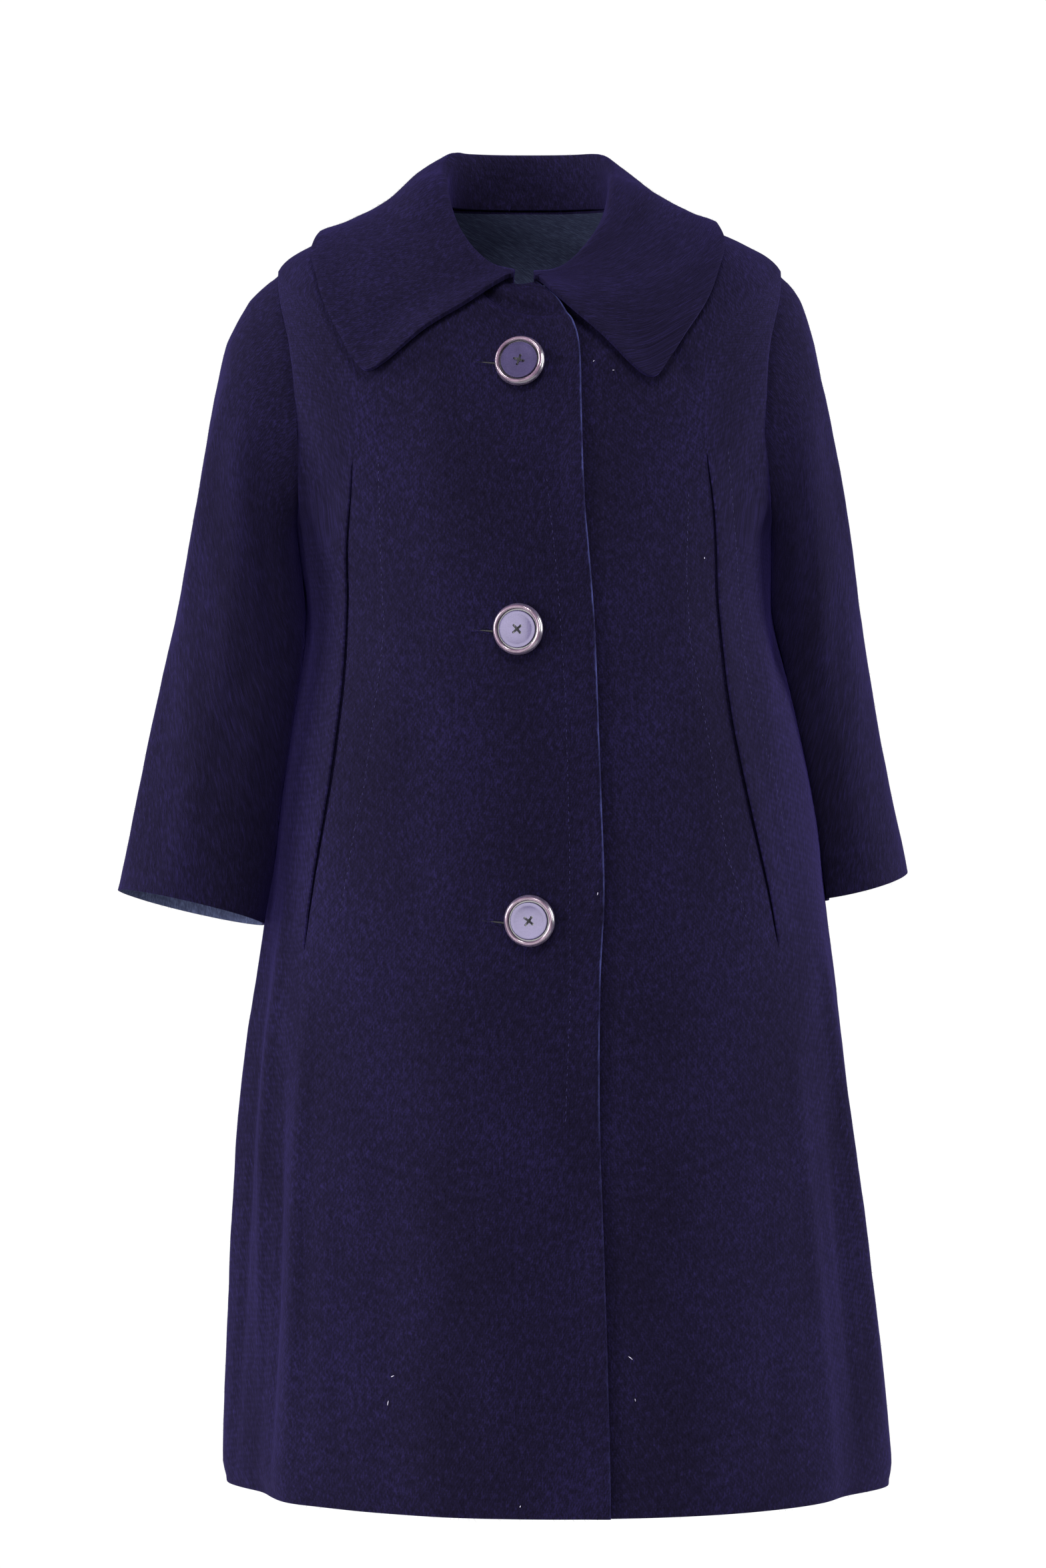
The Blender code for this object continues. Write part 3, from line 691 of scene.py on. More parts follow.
# The coating's navy face: three tones of wool, then the colour and the weight of its sheen
NAVY = ("07050C", "100D1E", "1D183A", "5A4AB0", 0.13)
navy_twill = brushed_twill("brushed_navy_twill", *NAVY)
# The lap's face carries the pale edge: partly the slate reverse at the fold, partly a painted highlight.
navy_lap_twill = brushed_twill("brushed_navy_twill_lap", *NAVY, pale_edge_and_highlight="3C4070")
slate_twill = brushed_twill("slate_blue_reverse", "262940", "3C415A", "5C6486", "8C98C0", 0.08)
cut_edge = brushed_twill("turned_cloth_edge", "0A0816", "17132C", "2A2350", "6A5EA8", 0.08)
COATING = (navy_twill, slate_twill, cut_edge)


def body_place(degrees, row):
    return body_point(math.radians(degrees), row)


def lap_place(degrees, row):
    """The same place on the right front, which stands out where it laps over the left one."""
    point = body_place(degrees, row)
    return point + body_directions(math.radians(degrees), row)[2] * lap_rise(point.x)


def make_front(side, creases, seed, finishes):
    """A front: the fine grid with its slit, creases, sewn seam and woolly unevenness."""
    rows = even_rows()
    inner = [crowded(step / LAP_TO_SLIT_CELLS) for step in range(LAP_TO_SLIT_CELLS + 1)]
    outer = [1 + crowded(step / SLIT_TO_SEAM_CELLS) for step in range(SLIT_TO_SEAM_CELLS + 1)]
    places = [(place, 0) for place in inner[:-1]] + [(1, -1), (1, 1)]
    places += [(place, 0) for place in outer[1:]]
    pairs = [[front_point(side, place, row, lip) for place, lip in places] for row in rows]
    points = np.array([[pair[0] for pair in line] for line in pairs])
    out = np.array([[pair[1] for pair in line] for line in pairs])
    flat_u, flat_v = flat_sizes(points)
    place_of = lap_place if side == "right" else body_place
    rise = crease_rise(points, creases, place_of) + woolly(points, seed)
    rise += sewn_edge_dip(flat_u[:, -1:] - flat_u) * armhole_depth(rows)
    rise += hem_roll(flat_v[-1:] - flat_v)
    if side == "right":
        rise += lap_edge_lift(flat_u, flat_v)
    points = points + out * rise[:, :, None]
    bm = sheet_of(points, flat_u, flat_v, LAP_TO_SLIT_CELLS, inside_out=side == "left")
    return cloth_piece(side + "_front", bm, WALL, finishes)


right_front = make_front("right", RIGHT_FRONT_CREASES, 1, (navy_lap_twill, slate_twill, cut_edge))
right_front_nap = nap_on("right_front_nap", right_front, WALL, 26000, 11)
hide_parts("front_right")

# Left front
# The left front lies under the lap and carries the buttons. It is cut like the right one, turned over,
# with its own pocket slit.
LEFT_FRONT_CREASES = (
    (30, 3.9, 34, 5.2, -1.2, 8),
    (62, 6.0, 46, 8.0, -2.2, 13),
    (66, 7.8, 52, 9.4, 1.7, 10),
    (84, 9.6, 63, 11.2, -2, 12),
    (36, 8.4, 33, 13.2, 1, 13),
    (84, 12.6, 85, 17.8, -4.4, 9),
    (70, 13.4, 71, 17.6, 6.4, 9),
    (63, 14.8, 62, 18.0, -3.2, 8),
    (52, 14.2, 52, 17.9, 2.2, 11),
    (38, 15.6, 37, 18.0, -1.2, 14),
    (24, 14.9, 23, 18.0, 1, 16),
)
left_front = make_front("left", LEFT_FRONT_CREASES, 2, COATING)
left_front_nap = nap_on("left_front_nap", left_front, WALL, 24000, 12)
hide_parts("front_left")

# Pocket facings
# Behind each slit a strip of the same coating closes the pocket mouth. It is sewn to the inside of the
# front, so that only shadow shows between the lips.
FACING_WALL = 0.0012
FACING_HALF_WIDTH = 0.015
FACING_DEPTH = 0.0028
FACING_LONG_CELLS = 120
FACING_DEEP_CELLS = 8
FACING_EDGE_ROUND = 0.0003
# How many rows of the body's table a facing reaches past the slit's top and foot
FACING_ABOVE = 0.2
FACING_BELOW = 0.15

for wearer_side, slit in SLITS.items():
    spots = []
    for step in range(FACING_LONG_CELLS + 1):
        row = mix(slit.top_row - FACING_ABOVE, slit.foot_row + FACING_BELOW, step / FACING_LONG_CELLS)
        line = []
        for part in np.linspace(-1, 1, FACING_DEEP_CELLS + 1):
            angle = angle_at(row, slit_x(wearer_side, row) + part * FACING_HALF_WIDTH)
            line.append(body_point(angle, row) - body_directions(angle, row)[2] * FACING_DEPTH)
        spots.append(line)
    spots = np.array(spots)
    strip = sheet_of(spots, *flat_sizes(spots), inside_out=True)
    facing_name = wearer_side + "_pocket_facing"
    facing = cloth_piece(facing_name, strip, FACING_WALL, COATING, FACING_EDGE_ROUND)
    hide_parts("pocket_facing_" + wearer_side)

# Back
# The back is one piece, without a centre seam. Its shoulders and sides are sewn to the fronts, and its
# fullness hangs in deep soft folds that widen to the hem.
BACK_CELLS = 128
BACK_CREASES = (
    (196, 0.6, 214, 2.4, -1.4, 10),
    (163, 0.7, 146, 2.6, -1.2, 10),
    (118, 6.4, 138, 8.6, -2.4, 14),
    (113, 8.0, 132, 10.0, 1.8, 11),
    (242, 6.2, 224, 8.2, -2.2, 14),
    (247, 7.8, 228, 9.8, 1.9, 11),
    (97, 9.6, 112, 11.6, -1.8, 11),
    (263, 9.4, 249, 11.2, -1.9, 11),
    (180, 4.6, 181, 9.6, 1.2, 18),
    (150, 9.8, 147, 14.2, 1.4, 14),
    (171, 10.8, 172, 16.0, -1.4, 13),
    (196, 11.4, 198, 16.8, 1.5, 12),
    (221, 10.2, 223, 15.4, -1.5, 13),
    (101, 13.0, 99, 18.0, 2.2, 9),
    (122, 14.2, 122, 18.0, -1.6, 9),
    (145, 15.0, 145, 18.0, 1.6, 10),
    (246, 13.6, 247, 18.0, 1.8, 10),
    (262, 12.8, 263, 17.8, -2, 9),
)


def back_point(place, row):
    """A point of the back and its outward direction, from place -1 at the left seam to 1 at the right."""
    seam = seam_angle(row, "back")
    angle = math.pi + place * (math.pi - seam)
    return body_point(angle, row), body_directions(angle, row)[2]


back_places = [2 * crowded(step / BACK_CELLS) - 1 for step in range(BACK_CELLS + 1)]
back_pairs = [[back_point(place, row) for place in back_places] for row in even_rows()]
back_spots = np.array([[pair[0] for pair in line] for line in back_pairs])
back_out = np.array([[pair[1] for pair in line] for line in back_pairs])
back_u, back_v = flat_sizes(back_spots)
back_rise = crease_rise(back_spots, BACK_CREASES, body_place) + woolly(back_spots, 3)
back_dip = sewn_edge_dip(back_u) + sewn_edge_dip(back_u[:, -1:] - back_u)
back_rise += back_dip * armhole_depth(even_rows())
back_rise += hem_roll(back_v[-1:] - back_v)
back_spots = back_spots + back_out * back_rise[:, :, None]
back_sheet = sheet_of(back_spots, back_u, back_v, inside_out=True)
back = cloth_piece("coat_back", back_sheet, WALL, COATING)
back_nap = nap_on("back_nap", back, WALL, 44000, 13)
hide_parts("back")

# Sleeves
# Each sleeve is one tube with its seam under the arm, eased into the armhole and turned up inside at a
# wide slanting cuff below the elbow. The left arm hangs further back than the right one.
# Each row is one level of a sleeve, in millimetres.
SleeveRing = namedtuple("SleeveRing", "z outer_x inner_x front_y back_y")
SLEEVE_SIZES = {
    "right": (
        (-36, -193, -187, -10, 10),
        (-47, -212, -182, -34, 30),
        (-62, -224, -180, -50, 45),
        (-95, -236, -178, -66, 58),
        (-140, -244, -176, -75, 65),
        (-200, -254, -175, -80, 66),
        (-265, -265, -172, -81, 62),
        (-330, -277, -169, -80, 55),
        (-392, -289, -173, -78, 49),
        (-456, -303, -184, -76, 45),
        (-519, -317, -197, -74, 43),
        (-570, -329, -208, -73, 42),
    ),
    "left": (
        (-36, 203, 197, -10, 10),
        (-47, 217, 192, -34, 30),
        (-62, 224, 190, -50, 45),
        (-95, 231, 188, -65, 59),
        (-140, 238, 186, -72, 68),
        (-200, 249, 186, -71, 75),
        (-265, 261, 187, -63, 83),
        (-330, 272, 187, -50, 90),
        (-392, 283, 190, -36, 97),
        (-456, 296, 199, -25, 101),
        (-519, 310, 208, -18, 104),
        (-570, 320, 216, -14, 106),
    ),
}
SLEEVE_RINGS = {
    side: [SleeveRing(*(size / 1000 for size in sizes)) for sizes in table]
    for side, table in SLEEVE_SIZES.items()
}
CuffPlane = namedtuple("CuffPlane", "outer_x outer_z inward_drop backward_rise")
CUFFS = {
    "right": CuffPlane(-0.319, -0.529, 0.217, -0.12),
    "left": CuffPlane(0.311, -0.516, 0.217, 0.09),
}
# How soon the sleeve leaves the armhole's line, how far its head is tucked in, and its room at the side
CAP_HASTE = 24.0
ARMHOLE_TUCK = 0.0015
BODY_CLEARANCE = 0.0024
HEAD_EASE = 0.012
SLEEVE_ROUND_CELLS = 88
SLEEVE_LONG_CELLS = 112
SLEEVE_CROWDING = 1.5

# On a sleeve a place is a turn from its outer side, over the front, and a share of its length.
SLEEVE_CREASES = {
    "right": (
        (0.82, 0.040, 1.20, 0.040, 1.6, 15),
        (0.13, 0.06, 0.10, 0.62, 5.8, 10),
        (0.20, 0.16, 0.19, 0.66, -2.2, 12),
        (0.06, 0.56, 0.08, 1.00, 4.8, 11),
        (0.17, 0.70, 0.16, 1.00, -1.6, 12),
        (0.30, 0.10, 0.36, 0.44, -2.4, 12),
        (0.33, 0.34, 0.30, 0.92, 1.8, 13),
        (0.42, 0.30, 0.24, 0.56, -1.6, 11),
        (0.60, 0.22, 0.74, 0.50, -2.2, 12),
        (0.66, 0.44, 0.80, 0.66, 1.8, 12),
        (0.88, 0.30, 0.92, 0.92, -2, 13),
        (0.72, 0.68, 0.70, 1.00, 1.8, 13),
    ),
    "left": (
        (0.84, 0.040, 1.18, 0.040, 1.6, 15),
        (0.10, 0.08, 0.08, 0.58, 4.5, 10),
        (0.17, 0.20, 0.20, 0.72, -2, 12),
        (0.07, 0.62, 0.10, 1.00, 1.8, 12),
        (0.28, 0.14, 0.37, 0.46, -2.2, 12),
        (0.30, 0.46, 0.28, 0.96, 1.8, 13),
        (0.62, 0.26, 0.76, 0.52, -2.4, 12),
        (0.68, 0.48, 0.84, 0.70, 2, 12),
        (0.90, 0.28, 0.93, 0.90, -1.8, 13),
        (0.74, 0.72, 0.72, 1.00, 1.6, 13),
    ),
}


def armhole_row(share):
    """The body row at a share of the way down the armhole, closer together at its ends."""
    return mix(SHOULDER_ROW, UNDERARM_ROW, (1 - math.cos(math.pi * share)) / 2)


def row_at(levels, z, first=0):
    """The fractional row of a table at height z, or its first usable row."""
    place = float(first)
    for index in range(first, len(levels) - 1):
        if levels[index] >= z >= levels[index + 1]:
            place = index + (levels[index] - z) / (levels[index] - levels[index + 1])
    return place


def clear_of_body(point):
    """The point, moved out of the body's side where the sleeve would touch it."""
    ring = between(BODY_RINGS, row_at([ring.side_z for ring in BODY_RINGS], point.z, UNDERARM_ROW))
    depth = ring.front_depth if point.y < 0 else ring.back_depth
    x = point.x - ring.centre_x
    wide = abs(x) / (ring.half_width + BODY_CLEARANCE)
    deep = abs(point.y) / (depth + BODY_CLEARANCE)
    reach = (wide**ROUNDNESS + deep**ROUNDNESS) ** (1 / ROUNDNESS)
    if reach >= 1:
        return point
    return Vector((ring.centre_x + x / reach, point.y / reach, point.z))


def section_point(rings, sign, angle, z):
    """A point of a sleeve's cross-section at height z."""
    ring = between(rings, row_at([ring.z for ring in rings], z))
    middle_x = (ring.outer_x + ring.inner_x) / 2
    middle_y = (ring.front_y + ring.back_y) / 2
    half_width = abs(ring.outer_x - ring.inner_x) / 2
    half_depth = (ring.back_y - ring.front_y) / 2
    x = middle_x + sign * half_width * math.cos(angle)
    return Vector((x, middle_y - half_depth * math.sin(angle), z))


def sleeve_point(side, turn, share):
    """A point of a sleeve: turn runs from 0 at the outer side, over the front, round to 1."""
    sign = -1 if side == "right" else 1
    turn = turn % 1.0
    angle = turn * 2 * math.pi
    part = "front" if turn <= 0.5 else "back"
    row = armhole_row(turn * 2 if turn <= 0.5 else 2 - turn * 2)
    start = body_point(sign * seam_angle(row, part), row)
    tuck = ARMHOLE_TUCK * math.sin(math.pi * min(row - SHOULDER_ROW, 1) / 2)
    start = start - Vector((sign * tuck, 0, 0))
    cuff = CUFFS[side]
    rings = SLEEVE_RINGS[side]
    foot = section_point(rings, sign, angle, cuff.outer_z)
    inward = sign * (cuff.outer_x - foot.x)
    cuff_z = cuff.outer_z - inward * cuff.inward_drop + foot.y * cuff.backward_rise
    z = mix(start.z, cuff_z, share)
    level = section_point(rings, sign, angle, z)
    haste = 1 - (1 - share) ** CAP_HASTE
    point = Vector((mix(start.x, level.x, haste), mix(start.y, level.y, haste), z))
    return clear_of_body(point) if share > 0 else point


def outward(points, sign, closed=False):
    """The outward direction at each point of a grid, from its neighbours across and down."""
    across = np.gradient(points, axis=1)
    if closed:
        joined = (across[:, 0] + across[:, -1]) / 2
        across[:, 0] = joined
        across[:, -1] = joined
    down = np.gradient(points, axis=0)
    out = np.cross(across, down)
    return sign * out / np.maximum(np.linalg.norm(out, axis=2), 1e-12)[:, :, None]


for wearer_side, seed in (("right", 4), ("left", 5)):
    turns = [0.5 + step / SLEEVE_ROUND_CELLS for step in range(SLEEVE_ROUND_CELLS + 1)]
    shares = [(step / SLEEVE_LONG_CELLS) ** SLEEVE_CROWDING for step in range(SLEEVE_LONG_CELLS + 1)]
    spots = np.array([[sleeve_point(wearer_side, turn, share) for turn in turns] for share in shares])
    spots[:, -1] = spots[:, 0]
    sleeve_u, sleeve_v = flat_sizes(spots)
    rise = crease_rise(
        spots,
        SLEEVE_CREASES[wearer_side],
        lambda turn, share: sleeve_point(wearer_side, turn, share),
    )
    rise *= np.minimum(1, sleeve_v / HEAD_EASE)
    rise += woolly(spots, seed) + sewn_edge_dip(sleeve_v)
    out = outward(spots, -1 if wearer_side == "right" else 1, closed=True)
    spots = spots + out * rise[:, :, None]
    tube = sheet_of(spots, sleeve_u, sleeve_v, inside_out=wearer_side == "right")
    sleeve = cloth_piece(wearer_side + "_sleeve", tube, WALL, COATING)
    nap = nap_on(wearer_side + "_sleeve_nap", sleeve, WALL, 19000, 10 + seed)
    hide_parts("sleeve_" + wearer_side)

# Collar
# The collar is cut double and turned, so it is thick and has soft round edges. It stands a little at
# the back of the neck, rolls over and lies flat to two blunt points in front.
COLLAR_WALL = 0.0030
COLLAR_SEAM_GAP = 0.0012
COLLAR_THICKNESS = 0.0046
COLLAR_LIFT = 0.0040
COLLAR_EDGE_ROUND = 0.0021
EDGE_CURL = 0.0026
EDGE_CURL_WIDTH = 0.014
CORNER_RADIUS = 0.009
# The stand is low in front, and rises between these two angles from centre front.
STAND_FRONT = 0.003
STAND_BACK = 0.037
STAND_RISE_FROM = 60
STAND_RISE_TO = 130
# The fall leaves the roll at this body row. Past these angles it drops at once, before them in an S.
FALL_START_ROW = 0.15
FALL_EASE = 1.5
FALL_ROW_POWER = 0.75
FRONT_END_FROM = 3
FRONT_END_TO = 40
CREST_RISE = 0.0022
LAP_END_X = 0.052
LAP_PAST_X = 0.085
FALL_SHARES = (0.0, 0.10, 0.25, 0.42, 0.60, 0.80, 1.0)
COLLAR_LINES = (("stand", 0.0), ("stand", 1.0), ("crest", 0.0)) + tuple(
    ("fall", share) for share in FALL_SHARES
)
COLLAR_LONG_CELLS = 110
COLLAR_DEEP_CELLS = 44

# Each row is one line across the collar, from its front end round to the centre back: the angle where
# it leaves the roll, and the angle and body row of its outer edge.
CollarCut = namedtuple("CollarCut", "roll_angle edge_angle edge_row")
COLLAR_CUTS = {
    "right": (
        CollarCut(8.6, 34.8, 4.94),
        CollarCut(24, 40.3, 4.51),
        CollarCut(38, 47.1, 4.07),
        CollarCut(54, 61.1, 3.47),
        CollarCut(70, 74.2, 3.17),
        CollarCut(90, 90, 2.75),
        CollarCut(115, 114, 2.75),
        CollarCut(147, 147, 2.90),
        CollarCut(180, 180, 3.00),
    ),
    "left": (
        CollarCut(3.1, 24.9, 4.86),
        CollarCut(20, 31.0, 4.22),
        CollarCut(34, 39.2, 3.69),
        CollarCut(52, 56.9, 3.01),
        CollarCut(68, 71.3, 2.68),
        CollarCut(90, 90, 2.25),
        CollarCut(115, 114, 2.40),
        CollarCut(147, 147, 2.75),
        CollarCut(180, 180, 3.00),
    ),
}
# On the collar a place is 0 to 1 from the right end to centre back, 2 at the left end, and a line.
COLLAR_CREASES = (
    (0.42, 4.2, 0.86, 3.8, 5.6, 22),
    (1.16, 4.0, 1.54, 4.4, 2.6, 20),
    (0.18, 3.6, 0.10, 8.4, -0.9, 14),
    (0.42, 4.0, 0.36, 8.6, 1.2, 16),
    (0.62, 3.4, 0.60, 8.4, -1.1, 14),
    (0.86, 3.6, 0.84, 8.6, 1.2, 16),
    (1.12, 3.4, 1.14, 8.4, -1.2, 15),
    (1.38, 3.6, 1.41, 8.6, 1.2, 15),
    (1.60, 3.8, 1.66, 8.4, -1, 14),
    (1.84, 4.2, 1.90, 8.2, 0.9, 14),
)


def collar_rise(x):
    """How far the collar is lifted by the lapping front below it."""
    return lap_rise(x) * (1 - smooth_step(x, LAP_END_X, LAP_PAST_X))


def fall_point(sign, cut, share, stand):
    """A point of the collar's fall, from the roll (share 0) to its outer edge (share 1)."""
    past_front = smooth_step(cut.roll_angle, FRONT_END_FROM, FRONT_END_TO)
    turned_over = mix(smooth_step(share, 0, 1), share**FALL_ROW_POWER, past_front)
    row = mix(FALL_START_ROW, cut.edge_row, turned_over)
    angle = sign * math.radians(mix(cut.roll_angle, cut.edge_angle, share))
    on_cloth = body_point(angle, row)
    point = on_cloth + body_directions(angle, row)[2] * (COLLAR_LIFT + collar_rise(on_cloth.x))
    return point + Vector((0, 0, stand * (1 - share) ** FALL_EASE))


def collar_line(place):
    """The points of one line across the collar, from the foot of its stand to its outer edge."""
    side = "right" if place <= 1 else "left"
    sign = -1 if side == "right" else 1
    cuts = COLLAR_CUTS[side]
    cut = between(cuts, (place if place <= 1 else 2 - place) * (len(cuts) - 1))
    roll = sign * math.radians(cut.roll_angle)
    rise = smooth_step(cut.roll_angle, STAND_RISE_FROM, STAND_RISE_TO)
    stand = mix(STAND_FRONT, STAND_BACK, rise)
    up = Vector((0, 0, 1))
    neck = body_point(roll, 0)
    _, down, out = body_directions(roll, 0)
    foot = neck - down * (COLLAR_WALL / 2 + COLLAR_SEAM_GAP) + out * collar_rise(neck.x)
    top = foot + up * stand
    points = []
    for kind, share in COLLAR_LINES:
        fall = fall_point(sign, cut, share, stand)
        if kind == "stand":
            fall = mix(foot - up * COLLAR_WALL / 2, top, share)
        elif kind == "crest":
            fall = (top + fall) / 2 + up * CREST_RISE
        points.append(fall)
    return points


Spot = namedtuple("Spot", "x y z")


def collar_place(place, line):
    """A point of the collar, on a smooth curve through its lines."""
    return Vector(between([Spot(*point) for point in collar_line(place)], line))


def round_corners(points, along, down, radius):
    """Rounds the collar's two outer corners, by drawing each corner's square in to a quarter disc."""
    columns = points.shape[1]
    still = points.copy()
    for first, step in ((0, 1), (columns - 1, -1)):
        for column in range(first, first + step * columns // 4, step):
            for row in range(points.shape[0] // 2, points.shape[0]):
                a = 1 - abs(along[row, column] - along[row, first]) / radius
                b = 1 - (down[-1, column] - down[row, column]) / radius
                if a <= 0 or b <= 0:
                    continue
                inward = still[row, column + step] - still[row, column]
                upward = still[row - 1, column] - still[row, column]
                inward /= np.linalg.norm(inward)
                upward /= np.linalg.norm(upward)
                points[row, column] += inward * radius * a * (1 - math.sqrt(1 - b * b / 2))
                points[row, column] += upward * radius * b * (1 - math.sqrt(1 - a * a / 2))


collar_spots = []
for step in range(2 * COLLAR_LONG_CELLS + 1):
    along = crowded(step / (2 * COLLAR_LONG_CELLS)) * 2
    line_spots = [Spot(*point) for point in collar_line(along)]
    last = len(line_spots) - 1
    collar_spots.append(
        [between(line_spots, last * part / COLLAR_DEEP_CELLS) for part in range(COLLAR_DEEP_CELLS + 1)]
    )
collar_spots = np.array(collar_spots).transpose(1, 0, 2)
collar_u, collar_v = flat_sizes(collar_spots)
round_corners(collar_spots, collar_u, collar_v, CORNER_RADIUS)
collar_out = outward(collar_spots, 1)
from_ends = np.minimum(collar_u, collar_u[:, -1:] - collar_u)
from_edge = np.minimum(collar_v[-1:] - collar_v, from_ends)
collar_lift = crease_rise(collar_spots, COLLAR_CREASES, collar_place) + woolly(collar_spots, 6)
collar_lift += EDGE_CURL * fading(from_edge, EDGE_CURL_WIDTH)
collar_lift[: COLLAR_DEEP_CELLS // 5] = 0
collar_spots = collar_spots + collar_out * collar_lift[:, :, None]
collar_sheet = sheet_of(collar_spots, collar_u, collar_v)
collar_finishes = (navy_twill, navy_twill, navy_twill)
collar = cloth_piece(
    "flat_collar", collar_sheet, COLLAR_THICKNESS, collar_finishes, COLLAR_EDGE_ROUND
)
collar_nap = nap_on("collar_nap", collar, COLLAR_THICKNESS, 24000, 16)
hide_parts("collar")

# Hand stitches
# The pocket facings and the lap's inner edge are held by rows of running stitch in buttonhole twist.
# Each stitch is about 3 mm long and sinks a little into the nap.
STITCH_PITCH = 0.0056
STITCH_HALF_LENGTH = 0.0015
STITCH_HALF_WIDTH = 0.00028
# Each row is a line of stitching, as its places across and up the front.
STITCH_LINES = {
    "right_front": (
        ((-0.1104, -0.194), (-0.1084, -0.273), (-0.1057, -0.326), (-0.1150, -0.400),
         (-0.1209, -0.444), (-0.1281, -0.476), (-0.1400, -0.545)),
        ((0.0182, -0.213), (0.0262, -0.290), (0.0322, -0.380), (0.0350, -0.490), (0.0355, -0.605),
         (0.0314, -0.702)),
    ),
    "left_front": (
        ((0.1261, -0.223), (0.1245, -0.280), (0.1269, -0.333), (0.1365, -0.384), (0.1440, -0.426),
         (0.1546, -0.494), (0.1726, -0.554)),
        ((0.1575, -0.189), (0.1640, -0.260), (0.1680, -0.321), (0.1723, -0.361), (0.1831, -0.401),
         (0.1941, -0.4405), (0.2050, -0.498)),
    ),
}

# Buttonhole twist: a hard three-ply silk, dyed a little brighter than the cloth, with a slight lustre
twist = speckled(
    "silk_buttonhole_twist",
    0.0006,
    ((0.3, "17142F"), (0.7, "2B2752")),
    {"Roughness": 0.7, "Specular IOR Level": 0.15},
)


def surface_of(cloth):
    """The cloth's outer surface, to set things on."""
    return BVHTree.FromObject(cloth, bpy.context.evaluated_depsgraph_get())


def set_on(surface, x, z):
    """The place and outward direction of the surface in front of x and z."""
    place, out, _, _ = surface.ray_cast(Vector((x, -1.0, z)), Vector((0, 1, 0)))
    return place, out


def lay_thread(bm, place, along, out, half_length, half_width):
    """One short stretch of thread that lies on the cloth."""
    side = out.cross(along).normalized()
    turn = Matrix((along, side, out)).transposed().to_4x4()
    size = Matrix.Diagonal((half_length, half_width, half_width, 1))
    bmesh.ops.create_icosphere(
        bm, subdivisions=1, radius=1.0, matrix=Matrix.Translation(place) @ turn @ size
    )


def along_line(corners, pitch):
    """Evenly spaced places along a line of corners."""
    lengths = [math.dist(a, b) for a, b in zip(corners, corners[1:])]
    total = sum(lengths)
    places = []
    for step in range(int(total / pitch) + 1):
        left = step * pitch
        index = 0
        while index < len(lengths) - 1 and left > lengths[index]:
            left -= lengths[index]
            index += 1
        share = min(left / lengths[index], 1.0)
        places.append([mix(a, b, share) for a, b in zip(corners[index], corners[index + 1])])
    return places


def thread_piece(name, bm, material):
    """A piece made of the threads gathered in a bmesh."""
    mesh = mesh_of(name, bm)
    mesh.shade_smooth()
    mesh.materials.append(material)
    piece = put_in_scene(name, mesh)
    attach(piece, "root")


surfaces = {"right_front": surface_of(right_front), "left_front": surface_of(left_front)}
for front_name, lines in STITCH_LINES.items():
    stitches = bmesh.new()
    for corners in lines:
        places = along_line(corners, STITCH_PITCH)
        for (x, z), (next_x, next_z) in zip(places, places[1:]):
            spot, out = set_on(surfaces[front_name], x, z)
            ahead, _ = set_on(surfaces[front_name], next_x, next_z)
            if spot is None or ahead is None:
                continue
            run = (ahead - spot).normalized()
            run = (run - out * run.dot(out)).normalized()
            lay_thread(stitches, spot, run, out, STITCH_HALF_LENGTH, STITCH_HALF_WIDTH)
    thread_piece(front_name + "_stitches", stitches, twist)

# Buttons
# Each button is three turned pieces of casein plastic: a dark plum base with a raised rim, a pearly pink
# ring that lies on the rim, and a satin lilac disc with four holes inside it. The top one tips down most.
ButtonPlace = namedtuple("ButtonPlace", "name x row tip_down turn_right stand_out thread_turn")
BUTTONS = (
    ButtonPlace("top", -0.0010, 3.91, 8, 12, 0.0018, 27),
    ButtonPlace("middle", -0.0020, 10.17, 3, 12, 0.0016, -4),
    ButtonPlace("low", 0.0060, 13.28, 4, 9, 0.0010, 8),
)
TURNING_STEPS = 96
HOLE_RADIUS = 0.0010
HOLE_SPACING = 0.0052
BUTTON_GAP = 0.0003
SCUFF_SIZE = 0.0012
# Outlines from the middle of the top face, down the outer side: radius and height
BASE_OUTLINE = (
    (0.0, 0.0026), (0.0153, 0.0026), (0.0154, 0.0030), (0.0155, 0.0042), (0.0158, 0.0045),
    (0.0179, 0.0045), (0.0184, 0.0040), (0.0190, 0.0030), (0.0194, 0.0020), (0.0195, 0.0012),
    (0.0191, 0.0006), (0.0172, 0.0002), (0.0, 0.0),
)
RING_OUTLINE = (
    (0.0157, 0.0053), (0.0159, 0.0057), (0.0164, 0.0060), (0.0169, 0.0061), (0.0174, 0.0060),
    (0.0179, 0.0056), (0.0181, 0.0051), (0.0180, 0.0047), (0.0156, 0.0047),
)
DISC_OUTLINE = (
    (0.0, 0.0042), (0.0060, 0.0043), (0.0110, 0.0046), (0.0130, 0.0048), (0.0138, 0.0047),
    (0.0142, 0.0043), (0.0143, 0.0037), (0.0138, 0.0029), (0.0, 0.0029),
)


